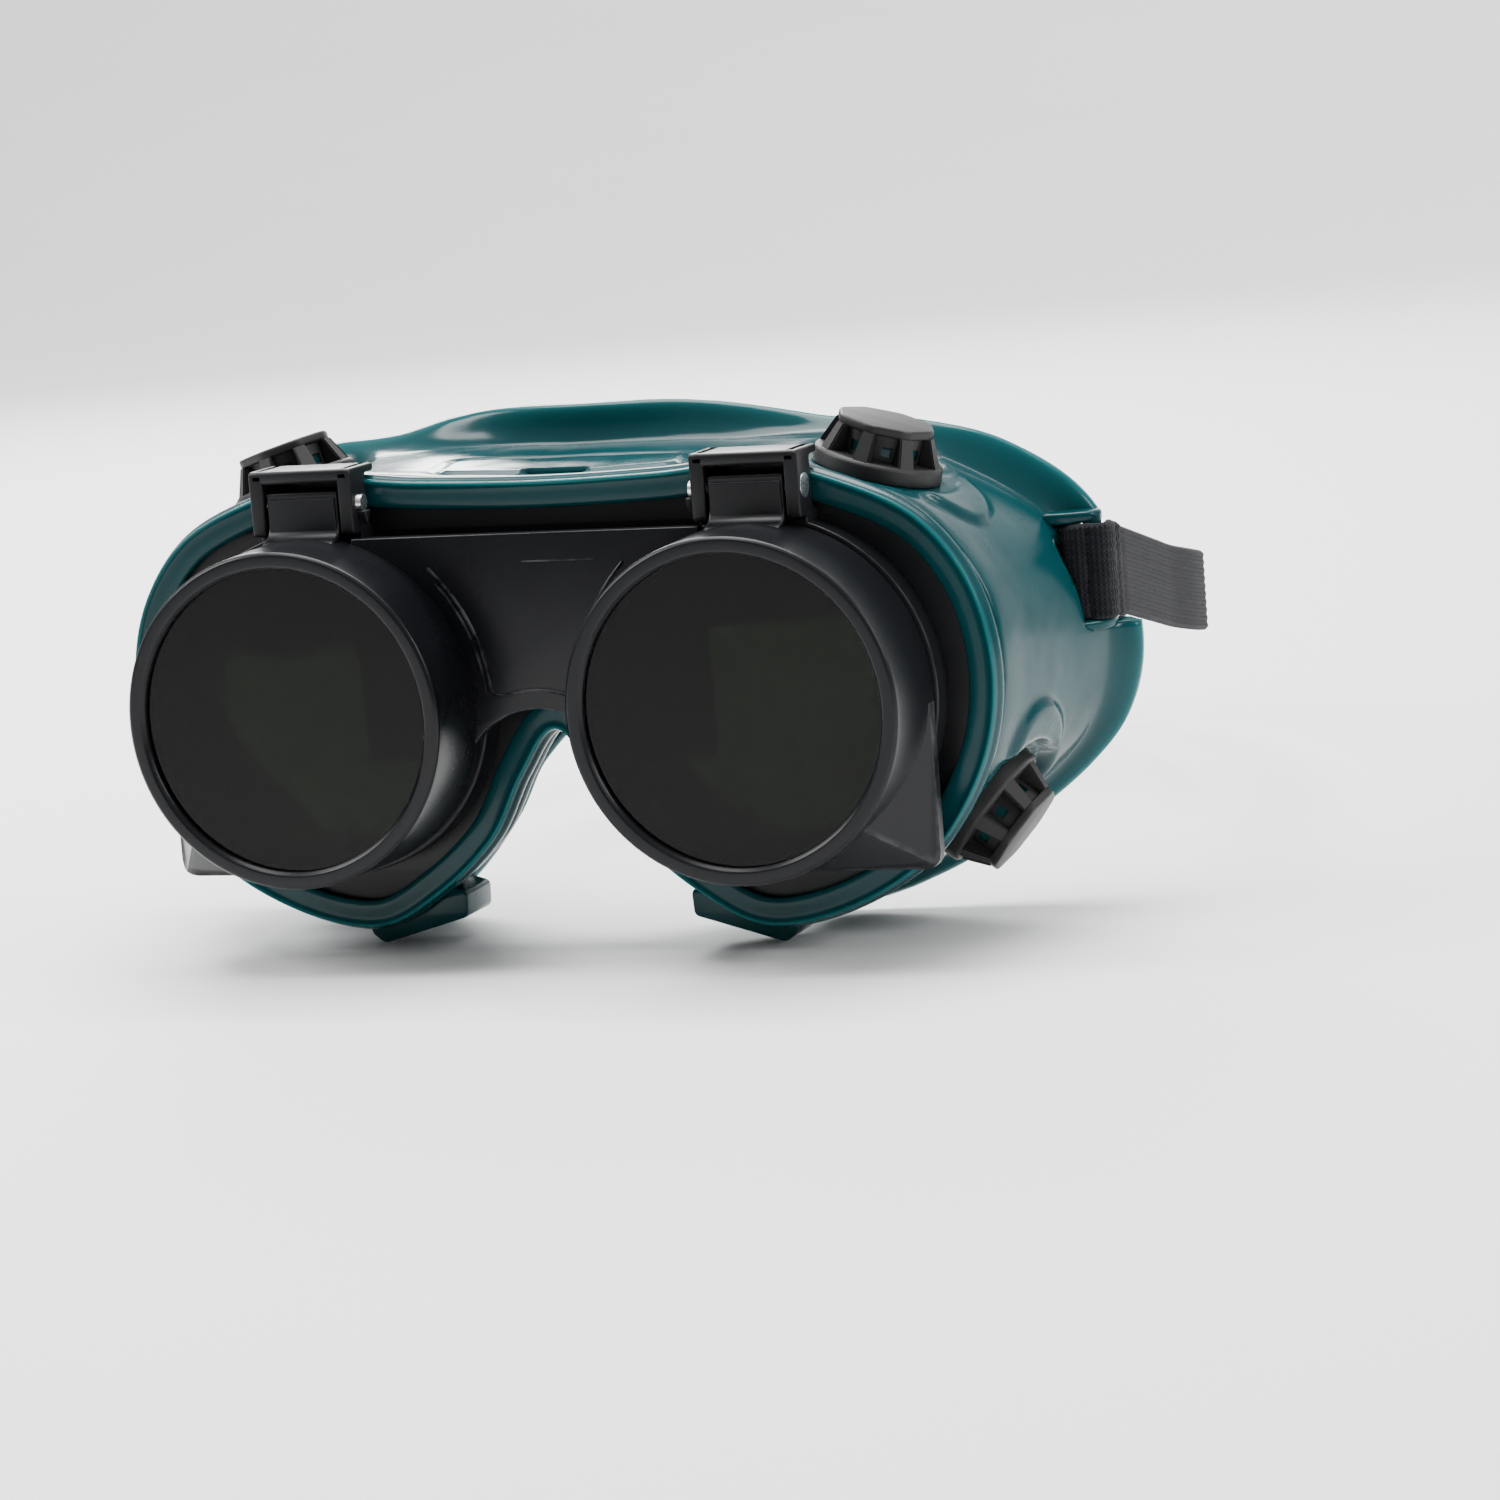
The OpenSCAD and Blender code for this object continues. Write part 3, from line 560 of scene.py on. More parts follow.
def turned_mesh(profile, middle, axis, steps=128):
    """A ring turned about an axis through middle, from a closed profile of (radius, distance along)."""
    ring = [
        (r * cos(2 * pi * k / steps), r * sin(2 * pi * k / steps), along)
        for r, along in profile for k in range(steps)
    ]
    mesh = bpy.data.meshes.new("turned")
    mesh.from_pydata(ring, [], grid_faces(len(profile), steps))
    return settle(mesh, standing(middle, axis))


def math_node(operation, a, b=None):
    """A Math node fed from a socket and a socket or number; gives its output."""
    node = put(a.id_data, "Math", operation=operation)
    node.id_data.links.new(a, node.inputs[0])
    if isinstance(b, bpy.types.NodeSocket):
        node.id_data.links.new(b, node.inputs[1])
    elif b is not None:
        node.inputs[1].default_value = b
    return node.outputs[0]


def noise_value(coords, per_mm, detail=3.0):
    """A noise with that many cells to the millimetre."""
    return put(coords.id_data, "TexNoise", Scale=per_mm / MM, Detail=detail,
               Vector=coords).outputs["Fac"]


def own_place(tree):
    """The surface's place on its own object."""
    return put(tree, "TexCoord").outputs["Object"]


def new_group(name, inputs, outputs):
    """A shader node group with numbers in and out, and the nodes at its two ends."""
    group = bpy.data.node_groups.new(name, "ShaderNodeTree")
    for in_out, names in (("INPUT", inputs), ("OUTPUT", outputs)):
        for socket in names:
            group.interface.new_socket(name=socket, in_out=in_out, socket_type="NodeSocketFloat")
    return group, group.nodes.new("NodeGroupInput").outputs, group.nodes.new("NodeGroupOutput")


# Grain of a moulded surface: a fine orange peel, slow flow lines, and a slow change of tone.
moulding, given, leaving = new_group("moulded_surface", ("Peel", "Flow"), ("Height", "Tone"))
coords = own_place(moulding)
peel = math_node("MULTIPLY", noise_value(coords, 1.6, 2.0), given["Peel"])
flow = math_node("MULTIPLY", noise_value(coords, 0.12, 2.0), given["Flow"])
slow = noise_value(coords, 0.035, 4.0)
feed(leaving, Height=math_node("ADD", peel, flow), Tone=map_value(slow, 0.3, 0.7))

# Marks of handling: worn edges, painted lighter both as rub wear and as a painted highlight, hairline
# scratches and a few specks of dust.
DUSTY_CELLS = 0.14
wear_marks_and_highlight, given, leaving = new_group(
    "wear_marks_and_edge_highlight", ("Scratch Depth", "Dust Amount"), ("Edge", "Scratch", "Dust"))
coords = own_place(wear_marks_and_highlight)
wear_and_highlight = map_value(noise_value(coords, 0.35, 5.0), 0.42, 0.62)
edges = put(wear_marks_and_highlight, "Attribute", attribute_name="worn_lit_edge").outputs["Fac"]
drawn_out = put(
    wear_marks_and_highlight, "Mapping", Scale=(1, 1, 0.06), Rotation=(0.5, 0.9, 0.3), Vector=coords)
hairs = map_value(noise_value(drawn_out.outputs["Vector"], 2.6, 2.0), 0.70, 0.76)
scratches = math_node("MULTIPLY", math_node("MULTIPLY", hairs, wear_and_highlight), given["Scratch Depth"])
grit = put(wear_marks_and_highlight, "TexVoronoi", Scale=0.22 / MM, Detail=3.0, Vector=coords).outputs
specks = map_value(grit["Distance"], 0.02, 0.04, 1.0, 0.0)
chosen = put(wear_marks_and_highlight, "SeparateColor", Color=grit["Color"]).outputs["Red"]
dust = math_node("MULTIPLY", specks, math_node("GREATER_THAN", chosen, 1 - DUSTY_CELLS))
feed(leaving, Edge=math_node("MULTIPLY", edges, wear_and_highlight), Scratch=scratches,
     Dust=math_node("MULTIPLY", dust, given["Dust Amount"]))


def use_group(tree, group, **values):
    """That group's outputs, in a material's tree, with values on its inputs."""
    return put(tree, "Group", node_tree=group, **values).outputs


def mix_colour(factor, low, high):
    """A colour mixed from low to high, each a socket or a plain colour, by a socket's value."""
    node = put(factor.id_data, "Mix", data_type="RGBA", Factor=factor)
    for key, value in (("A", low), ("B", high)):
        socket = next(s for s in node.inputs if s.name == key and s.type == "RGBA")
        if isinstance(value, tuple):
            socket.default_value = (*value, 1)
        else:
            node.id_data.links.new(value, socket)
    return next(s for s in node.outputs if s.type == "RGBA")


def bumped(height, distance, strength=1.0):
    """The normal of a surface with that height, distance in millimetres."""
    return put(height.id_data, "Bump", Strength=strength, Distance=distance * MM,
               Height=height).outputs["Normal"]


# Soft PVC: deep teal, glossy, with a painted highlight that makes it lighter along the lip's bead and
# the flange's edge, for light catching and shining through them.
PVC_DEEP, PVC_OPEN, PVC_EDGE_GLOW = (0.0008, 0.028, 0.033), (0.0012, 0.042, 0.049), (0.003, 0.13, 0.14)
pvc, tree, shader = new_material(
    "soft_pvc", IOR=1.5, Specular_IOR_Level=0.18, Subsurface_Weight=0.05, Subsurface_Scale=0.0015,
    Subsurface_Radius=(0.2, 1.0, 0.9))
surface = use_group(tree, moulding, Peel=0.25, Flow=1.0)
marks = use_group(tree, wear_marks_and_highlight, Scratch_Depth=0.12, Dust_Amount=0.25)
# painted highlight: the lip's bead and the flange's edge are painted a lighter teal that stands for
# light catching and shining through them
edge_glow = put(tree, "Attribute", attribute_name="painted_edge_glow").outputs["Fac"]
colour = mix_colour(edge_glow, mix_colour(surface["Tone"], PVC_DEEP, PVC_OPEN), PVC_EDGE_GLOW)
gloss = map_value(surface["Tone"], 0.0, 1.0, 0.15, 0.22)
feed(shader, Base_Color=mix_colour(marks["Dust"], colour, (0.4, 0.42, 0.4)),
     Roughness=math_node("ADD", gloss, marks["Scratch"]), Normal=bumped(surface["Height"], 0.05, 0.6))

rows, columns = mask_grid.shape[:2]
skin = new_mesh("mask_skin", mask_grid.reshape(-1, 3), grid_faces(rows, columns))
# how much painted highlight each row gets: most at the lip's bead, and a little at the flange's edge
EDGE_GLOW_AT = ((4.6, 1.1, 0.9), (22, 1.2, 0.55))
painted_edge_glow = sum(much * np.exp(-((mask_place - row) / half) ** 2) for row, half, much in EDGE_GLOW_AT)
attribute = skin.attributes.new("painted_edge_glow", "FLOAT", "POINT")
attribute.data.foreach_set("value", np.repeat(painted_edge_glow, columns).astype(np.float32))

SLOT_HALF_W, SLOT_R, SLOT_DEPTH = 4.7, 1.0, RIM_DEPTH + 9.5
BOSS_R, BOSS_BORE_R, BOSS_H = 6.3, 4.8, 5.0
CUT_LENGTH = 20


def stadium(half, radius, middle_y, steps=8):
    """A level slot with round ends."""
    return [
        (end * half + radius * cos(a), middle_y + radius * sin(a))
        for end, turn in ((1, -pi / 2), (-1, pi / 2))
        for a in (turn + pi * k / steps for k in range(steps + 1))
    ]


slot_line = stadium(SLOT_HALF_W, SLOT_R, FRONT_Y + SLOT_DEPTH)
cutters = [plate_mesh([slot_line], CUT_LENGTH, 0.01, Matrix.Translation((0, 0, MASK_TOP)))]
for place, side, _ in VENTS:
    middle, axis, _ = vent_frame(place, side)
    rod = bmesh.new()
    bmesh.ops.create_cone(
        rod, cap_ends=True, segments=64, radius1=BOSS_BORE_R, radius2=BOSS_BORE_R, depth=8)
    cutters.append(settle(worked_mesh(rod), standing(middle, axis)))
mask_skin = dress(skin, "mask_skin", "mask", pvc, 70)
holes = place_object("holes", merge(cutters))
set_up(mask_skin.modifiers.new("punch", "BOOLEAN"), object=holes, operation="DIFFERENCE",
       solver="EXACT")
punched = final_mesh(mask_skin)
mask_skin.modifiers.clear()
mask_skin.data = punched
bpy.data.objects.remove(holes)
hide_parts("mask_body")

# the ears and bar of each strap lug, the tabs under the lobes, and the tubes inside the vent caps
tube = soften([(BOSS_R, -0.5), (BOSS_R, BOSS_H), (BOSS_BORE_R, BOSS_H), (BOSS_BORE_R, -SEAT_T)], 0.35)
for place, side, word in VENTS:
    middle, axis, _ = vent_frame(place, side)
    dress(turned_mesh(tube, middle, axis, 64), f"vent_boss_{place}_{word}", "mask", pvc)

EAR_ROOT = POCKET_FLOOR - MASK_WALL
EAR_OUTLINE = {
    -1: [(EAR_ROOT, POCKET_FRONT - 2), (LUG_OUT - 4.5, POCKET_FRONT - 1.6),
         (LUG_OUT - 1, LUG_Y - 2.4), (LUG_OUT, LUG_Y + 0.5), (LUG_OUT - 0.4, LUG_Y + 3.5),
         (LUG_OUT - 2, -0.5), (EAR_ROOT, -0.5)],
    1: [(EAR_ROOT, POCKET_FRONT + 1), (BAR_X - 3.2, POCKET_FRONT + 1.4),
        (BAR_X + 0.3, LUG_Y - 1.8), (BAR_X + 1.6, LUG_Y + 0.3), (BAR_X + 1, LUG_Y + 2.6),
        (BAR_X - 1.5, -0.5), (EAR_ROOT, -0.5)],
}
EAR_CLOSER = 0.65
TAB_FRONT, TAB_DEPTH = FRAME_BACK + 0.1, 10
TAB_LOW = -MASK_TOP - 1.5
TAB_OUTLINE = [(LENS_X + px, TAB_LOW + pz) for px, pz in (
    (-17.9, 5), (-17.7, 0.9), (-2.7, -3.4), (-0.6, -1.7), (-0.4, 0.6), (-4, 2.2), (-13, 6.4))]
bar = soften([(0.01, -EAR_GAP / 2 - 0.6), (BAR_R, -EAR_GAP / 2 - 0.6),
              (BAR_R, EAR_GAP / 2 + 0.6), (0.01, EAR_GAP / 2 + 0.6)], 0.1)
for side, word in SIDES:
    ears = [
        plate_mesh(
            [soften([(side * px, py) for px, py in EAR_OUTLINE[end]], 1.2)], EAR_T, 0.5,
            Matrix.Translation((0, 0, LUG_Z + end * ((EAR_GAP + EAR_T) / 2 - EAR_CLOSER))))
        for end in (-1, 1)
    ]
    ears.append(turned_mesh(bar, Vector((side * BAR_X, LUG_Y, LUG_Z)), Vector((0, 0, 1)), 32))
    dress(merge(ears), f"strap_lug_{word}", "mask", pvc)
    tab = plate_mesh([soften([(side * px, pz) for px, pz in TAB_OUTLINE], 0.9)], TAB_DEPTH, 0.5,
                     facing_front(TAB_FRONT + TAB_DEPTH / 2))
    dress(tab, f"lower_tab_{word}", "mask", pvc)

# ----------
# Lens frame.
# A hard black plate held in the rim's groove, with a raised collar and a lens socket round each
# eye, and a bracket over each eye that hooks over the mask's rim and carries a hinge pin.
BORE_R = LENS_R + 0.15
CUP_R = BORE_R + 1.35
CUP_BACK_R = CUP_R + 0.4
CUP_DEPTH = 16.2
COLLAR_R = CUP_BACK_R + 0.6
COLLAR_FRONT = CUP_DEPTH + 0.6
OPENING_R = LENS_R - 2.2
SOCKET_R = BORE_R + 1.6
SOCKET_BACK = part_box("lens_frame")[1].y / MM - FRONT_Y
pin_low, pin_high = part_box("hinge_pin_left")
PIN_Z = (pin_low.z + pin_high.z) / 2 / MM
PIN_DEPTH = (pin_low.y + pin_high.y) / 2 / MM - FRONT_Y
PIN_R = 1.3
BRACKET_W, CHEEK_T, ARM_GAP = 17.5, 2.3, 0.35
ARM_REACH, ARM_RISE = PIN_R + 0.9, PIN_R + 0.8
BRACKET_FRONT = PIN_DEPTH - ARM_REACH - 0.3
BRACKET_BACK = RIM_DEPTH - 0.3
BRACKET_HOOK = RIM_DEPTH + 3
BAR_LOW = PIN_Z + hypot(ARM_REACH, ARM_RISE) + 0.46
BRACKET_TOP = BAR_LOW + 2.1
HOOK_LOW = MASK_TOP + 0.8
WEB_TOP = CUP_R - 0.1
CHEEK_FOOT = COLLAR_R - 3.5


def arc(middle, radius, start, end, steps):
    """Points along an arc, its angles in degrees."""
    angles = [radians(start + (end - start) * k / steps) for k in range(steps + 1)]
    return [(middle[0] + radius * cos(a), middle[1] + radius * sin(a)) for a in angles]


def black_plastic(name, colour, wear_and_highlight, rough, peel, dust=0.3, shine=0.3):
    """Moulded black plastic: orange peel, paler edges where it rubs and where a painted highlight lies
    along them, scratches, dust specks.
    """
    material, tree, shader = new_material(name, Specular_IOR_Level=shine)
    surface = use_group(tree, moulding, Peel=peel, Flow=0.5)
    marks = use_group(tree, wear_marks_and_highlight, Scratch_Depth=0.15, Dust_Amount=dust)
    paint = mix_colour(surface["Tone"], colour, tuple(1.5 * c for c in colour))
    # the marked edges take a lighter colour: rub wear, and a painted highlight along them
    paint = mix_colour(marks["Edge"], paint, wear_and_highlight)
    polish = map_value(surface["Tone"], 0.0, 1.0, rough - 0.05, rough + 0.05)
    feed(shader, Base_Color=mix_colour(marks["Dust"], paint, (0.35, 0.35, 0.35)),
         Roughness=math_node("ADD", polish, marks["Scratch"]),
         Normal=bumped(surface["Height"], 0.04, 0.5))
    return material


frame_black = black_plastic(
    "frame_black", (0.0065, 0.0068, 0.0078), wear_and_highlight=(0.035, 0.036, 0.038), rough=0.34, peel=0.35,
    dust=0.5, shine=0.2)

frame_outline = [(p[0], p[1]) for p in (rim_line - (GROOVE_IN + 0.2) * rim_out)[::2]]
eye_holes = [arc((side * LENS_X, 0), COLLAR_R - 1.2, 0, 357, 119) for side in (1, -1)]
frame_parts = [
    plate_mesh([frame_outline, *eye_holes], FRAME_T, 0.25, facing_front(FRAME_FRONT + FRAME_T / 2))]
collar = soften([
    (OPENING_R, COLLAR_FRONT), (COLLAR_R, COLLAR_FRONT), (COLLAR_R, FRAME_FRONT + 0.5),
    (COLLAR_R, FRAME_BACK), (SOCKET_R, FRAME_BACK), (SOCKET_R, SOCKET_BACK), (BORE_R, SOCKET_BACK),
    (BORE_R, FRAME_BACK), (OPENING_R, FRAME_BACK),
], 0.35)
INTO_FACE = Vector((0, 1, 0))
cheek = soften([
    (BRACKET_FRONT, BRACKET_TOP), (BRACKET_FRONT, WEB_TOP + 0.7), (CUP_DEPTH + 0.7, WEB_TOP + 0.7),
    (CUP_DEPTH + 0.7, CHEEK_FOOT), (FRAME_FRONT + 0.5, CHEEK_FOOT),
    (FRAME_FRONT + 0.5, CHEEK_FOOT + 3.2), (BRACKET_BACK, CHEEK_FOOT + 4.4),
    (BRACKET_BACK, HOOK_LOW), (BRACKET_HOOK, HOOK_LOW), (BRACKET_HOOK, BRACKET_TOP),
], 0.8)
top_bar = soften([
    (BRACKET_FRONT, BRACKET_TOP), (BRACKET_FRONT, BAR_LOW), (BRACKET_BACK, BAR_LOW),
    (BRACKET_BACK, HOOK_LOW), (BRACKET_HOOK, HOOK_LOW), (BRACKET_HOOK, BRACKET_TOP),
], 0.7)
# the wall that closes a bracket behind the arm, close in front of the mask's rim
closure = [
    (-BRACKET_W / 2 + 0.5, WEB_TOP), (BRACKET_W / 2 - 0.5, WEB_TOP),
    (BRACKET_W / 2 - 0.5, BRACKET_TOP - 0.6), (-BRACKET_W / 2 + 0.5, BRACKET_TOP - 0.6),
]
CLOSURE_T = 0.3
tip_rib = soften([
    (PIN_DEPTH - 1.1, PIN_Z - 1.2), (PIN_DEPTH + 1.1, PIN_Z - 1.2), (PIN_DEPTH, PIN_Z - 3.6)], 0.3)
for side in (1, -1):
    eye = side * LENS_X
    wall = [(eye + px, pz) for px, pz in closure]
    frame_parts += [
        turned_mesh(collar, Vector((eye, FRONT_Y, 0)), INTO_FACE),
        *(plate_mesh([cheek], CHEEK_T, 0.3, facing_side(eye + end * (BRACKET_W - CHEEK_T) / 2))
          for end in (-1, 1)),
        plate_mesh([top_bar], BRACKET_W - 0.9, 0.35, facing_side(eye)),
        plate_mesh([wall], CLOSURE_T, 0.05, facing_front(BRACKET_BACK + 0.02 + CLOSURE_T / 2)),
        plate_mesh([tip_rib], 1.6, 0.2, facing_side(eye - side * (BRACKET_W / 2 + 0.7))),
    ]
lens_frame = dress(merge(frame_parts), "lens_frame_moulding", "mask", frame_black)
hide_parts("lens_frame")

# ----------
# Flip front.
# One black moulding: two deep cups joined by a thin web with an arch over the nose, a corner
# gusset on the outside of each cup, and an arm on each cup that turns on the hinge pin.
flip_black = black_plastic(
    "flip_black", (0.0037, 0.004, 0.0052), wear_and_highlight=(0.04, 0.041, 0.045), rough=0.3, peel=0.3,
    dust=0.9, shine=0.2)
CUP_OPENING_R = LENS_R - 1.3
CUP_LIP = 1.5
WEB_T = 2.2
WEB_FRONT = CUP_DEPTH - WEB_T
ARCH_R, ARCH_TOP = 14, -1.1
ARM_W = BRACKET_W - 2 * CHEEK_T - 2 * ARM_GAP
cup = soften([
    (CUP_OPENING_R, CUP_LIP), (CUP_OPENING_R, 0.75), (CUP_OPENING_R + 0.6, 0), (CUP_R - 0.5, 0),
    (CUP_R, 0.5), (CUP_R + 0.05, 2), (CUP_BACK_R, CUP_DEPTH), (BORE_R, CUP_DEPTH), (BORE_R, CUP_LIP),
], 0.22)
arch_mid = (0, ARCH_TOP - ARCH_R)
arch_half = 90 - 63.3
web_side, web_low = LENS_X - 8, arch_mid[1] + ARCH_R * sin(radians(arch_half))
web = [(web_side, WEB_TOP), (web_side, web_low)]
web += arc(arch_mid, ARCH_R, arch_half, 180 - arch_half, 36)
web += [(-web_side, web_low), (-web_side, WEB_TOP)]
flip_parts = [plate_mesh([web], WEB_T, 0.3, facing_front(WEB_FRONT + WEB_T / 2))]

arm_front, arm_back = PIN_DEPTH - ARM_REACH, PIN_DEPTH + PIN_R + 1.2
FOOT_R = 2.6
arm = soften([
    (arm_front, PIN_Z + ARM_RISE), (PIN_DEPTH + 0.8, PIN_Z + ARM_RISE), (arm_back, PIN_Z + 1),
    (arm_back, PIN_Z - 1.5), (CUP_DEPTH, PIN_Z - 3.4), (CUP_DEPTH, WEB_TOP - 0.8),
], 0.5)
arm += [(arm_front - FOOT_R - 1, WEB_TOP - 0.8)]
arm += arc((arm_front - FOOT_R, WEB_TOP + 0.15 + FOOT_R), FOOT_R, 270, 360, 8)

CORNER_R = 2.5
corner = CUP_BACK_R - CORNER_R
RIDGE_R, RIDGE_DEPTH, PLANE_END = CUP_R - 0.5, 2.5, 2.0


def gusset_mesh(side):
    """The filler from a cup's wall down to its square corner: two flat facets that meet at a ridge."""
    ridge = RIDGE_R * cos(radians(45))
    tip = corner + CORNER_R * cos(radians(45))
    facet = np.linalg.solve(
        np.array([[ridge, -ridge, 1], [tip, -tip, 1], [CUP_BACK_R, -PLANE_END, 1]], float),
        np.array([RIDGE_DEPTH, WEB_FRONT, WEB_FRONT], float))
    angles = np.radians(np.linspace(-3, -87, 57))
    across = np.linspace(0, 1, 12)
    front = []
    for t in across:
        for a in angles:
            square = CUP_BACK_R / max(cos(a), -sin(a))
            px, pz = square * cos(a), square * sin(a)
            if px > corner and pz < -corner:
                out = Vector((px - corner, pz + corner))
                out.length = min(CORNER_R, out.length)
                px, pz = corner + out.x, -corner + out.y
            px, pz = RIDGE_R * cos(a) * (1 - t) + px * t, RIDGE_R * sin(a) * (1 - t) + pz * t
            depth = max(facet @ (px, pz, 1), facet @ (-pz, -px, 1))
            front.append((px, min(max(depth, 1.0), WEB_FRONT + 0.2), pz))
    rows, columns = len(across), len(angles)
    points = front + [(px, CUP_DEPTH, pz) for px, _, pz in front]
    points = [(side * (LENS_X + px), FRONT_Y + depth, pz) for px, depth, pz in points]
    faces = grid_faces(rows, columns, False, False)
    faces += [tuple(rows * columns + i for i in reversed(face)) for face in faces]
    loop = [(0, c) for c in range(columns)] + [(r, columns - 1) for r in range(1, rows)]
    loop += [(rows - 1, c) for c in range(columns - 2, -1, -1)]
    loop += [(r, 0) for r in range(rows - 2, 0, -1)]
    loop = [r * columns + c for r, c in loop]
    faces += [(a, b, b + rows * columns, a + rows * columns) for a, b in zip(loop, loop[1:] + loop[:1])]
    return new_mesh("gusset", points, faces)


def bead_mesh(path, radius, depth, squash):
    """A raised line along a path of (x, z), half sunk in the face at that depth."""
    sink = Matrix.Translation((0, FRONT_Y + depth, 0)) @ Matrix.Diagonal((1, squash, 1, 1))
    return drawn_mesh(
        [[(px, 0, pz) for px, pz in path]], "NURBS", {"use_endpoint_u": True, "order_u": 4}, sink,
        dimensions="3D", bevel_depth=radius, bevel_resolution=3, use_fill_caps=True)


# the flat pad on the front of each arm, standing a little proud between the cheeks
PAD_T, PAD_SIDE = 0.75, ARM_W / 2 - 0.35
PAD_LOW, PAD_HIGH = CUP_R - 0.4, PIN_Z + 1.1
pad = soften([(-PAD_SIDE, PAD_LOW), (PAD_SIDE, PAD_LOW),
              (PAD_SIDE, PAD_HIGH), (-PAD_SIDE, PAD_HIGH)], 0.25)
# two beads beside each cup, as (distance from the first, angle they start at, radius)
BEADS = ((0, 134, 0.3), (-0.9, 139, 0.26))
BEAD_END, WITNESS_R = 177, 0.13
bead_cup, bead_arch = CUP_BACK_R + 2.9, ARCH_R + 3
for side in (1, -1):
    eye = side * LENS_X
    eye_pad = [(eye + px, pz) for px, pz in pad]
    flip_parts += [
        turned_mesh(cup, Vector((eye, FRONT_Y, 0)), INTO_FACE),
        plate_mesh([arm], ARM_W, 0.35, facing_side(eye)),
        plate_mesh([eye_pad], PAD_T, 0.2, facing_front(arm_front - 0.35 + PAD_T / 2)),
        gusset_mesh(side),
    ]
    for off, start, bead_r in BEADS:
        line = arc((LENS_X, 0), bead_cup + off, start, BEAD_END, 10)
        if not off:
            line += arc(arch_mid, bead_arch, 71, 90, 4)
        flip_parts.append(bead_mesh([(side * px, pz) for px, pz in line], bead_r, WEB_FRONT, 1.2))
# a short faint line under the web's top edge
witness = [(2 * k - 0.5, WEB_TOP - 4.4) for k in range(7)]
flip_parts.append(bead_mesh(witness, WITNESS_R, WEB_FRONT, 0.7))
flip_front = dress(merge(flip_parts), "flip_front_moulding", "flip", flip_black)
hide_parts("flip_front")

# ----------
# Lenses.
# Two dark green filter discs sit in the cups, and two clear discs in the frame behind them:
# polished flat glass 50 mm across, the filters so dense that they read as black.
filter_glass, tree, shader = new_material(
    "filter_glass", IOR=1.22, Specular_IOR_Level=0.2, Transmission_Weight=0.92, Metallic=0.0)
marks = use_group(tree, wear_marks_and_highlight, Dust_Amount=0.8)
shade = noise_value(own_place(tree), 0.03, 2.0)
dark = mix_colour(shade, (0.0009, 0.0017, 0.0005), (0.0022, 0.0038, 0.0012))
smear = noise_value(own_place(tree), 0.08)
feed(shader, Base_Color=mix_colour(marks["Dust"], dark, (0.4, 0.4, 0.4)),
     Roughness=map_value(smear, 0.5, 0.75, 0.0, 0.04))
clear_glass, tree, shader = new_material("clear_glass", IOR=1.5, Transmission_Weight=1.0)
haze = noise_value(own_place(tree), 0.07)
feed(shader, Base_Color=mix_colour(haze, (0.88, 0.95, 0.92), (0.95, 0.98, 0.97)),
     Roughness=map_value(haze, 0.5, 0.75, 0.0, 0.03))


def finish_node(name, material, edge):
    """Keeps a CAD node as it is, with its corners eased and a finish of its own."""
    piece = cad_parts[name]
    piece.data.materials.clear()
    piece.data.materials.append(material)
    set_up(piece.modifiers.new("weld", "WELD"), merge_threshold=0.002 * MM)
    set_up(piece.modifiers.new("ease_edges", "BEVEL"), width=edge * MM, segments=2,
           limit_method="ANGLE", angle_limit=radians(50), harden_normals=True)


for word in ("left", "right"):
    finish_node(f"filter_lens_{word}", filter_glass, 0.25)
    finish_node(f"clear_lens_{word}", clear_glass, 0.2)

# ----------
# Retaining rings and hinge pins.
# A ring is screwed in behind each lens, with two notches for its key. The pins are drawn steel:
# a flat head outside each bracket, and the tip standing proud on the nose side.
ring_black = black_plastic(
    "ring_black", (0.004, 0.004, 0.0045), wear_and_highlight=(0.03, 0.03, 0.03), rough=0.45, peel=0.6)
steel, tree, shader = new_material("pin_steel", Metallic=1.0)
drawn_out = put(tree, "Mapping", Scale=(0.05, 1, 1), Vector=own_place(tree))
lines = noise_value(drawn_out.outputs["Vector"], 4.0)
feed(shader, Base_Color=mix_colour(lines, (0.55, 0.55, 0.57), (0.78, 0.78, 0.8)),
     Roughness=map_value(lines, 0.3, 0.7, 0.22, 0.4), Normal=bumped(lines, 0.02, 0.4))
for word in ("left", "right"):
    finish_node(f"filter_ring_{word}", ring_black, 0.2)
    finish_node(f"clear_ring_{word}", ring_black, 0.2)
    finish_node(f"hinge_pin_{word}", steel, 0.2)

# ----------
# Vents.
# Each cap is a charcoal moulding pushed over the mask's tube: a round base band, eight ribs up
# to a flat roof, and an inner sleeve with a small hole behind each window. A baffle closes it inside.
cap_grey = black_plastic(
    "cap_charcoal", (0.0095, 0.009, 0.0095), wear_and_highlight=(0.04, 0.038, 0.037), rough=0.5, peel=1.0)
VENT_R, VENT_H, BAND_H, ROOF_R, ROOF_T, RIBS = 10.25, 8.2, 2.7, 8.0, 1.5, 8
band = soften([(BOSS_R + 0.2, 0), (VENT_R, 0), (VENT_R - 0.1, BAND_H - 0.5), (VENT_R - 0.6, BAND_H),
               (BOSS_R + 0.2, BAND_H)], 0.25)
roof = soften(arc((0, 0), ROOF_R, 0, 360 * (RIBS - 1) / RIBS, RIBS - 1), 1.3)
SLEEVE_R, SLEEVE_T = BOSS_R + 0.35, 0.5
RIB_TOP = VENT_H - ROOF_T + 0.4
# each rib's foot and head, as (height, outermost reach, half its width), and its six faces
RIB_ENDS = ((BAND_H - 0.3, VENT_R - 0.5, 1.35), (RIB_TOP, ROOF_R - 0.25, 1.05))
RIB_FACES = ((0, 1, 3, 2), (4, 6, 7, 5), (2, 3, 7, 6), (0, 2, 6, 4), (1, 5, 7, 3), (0, 4, 5, 1))
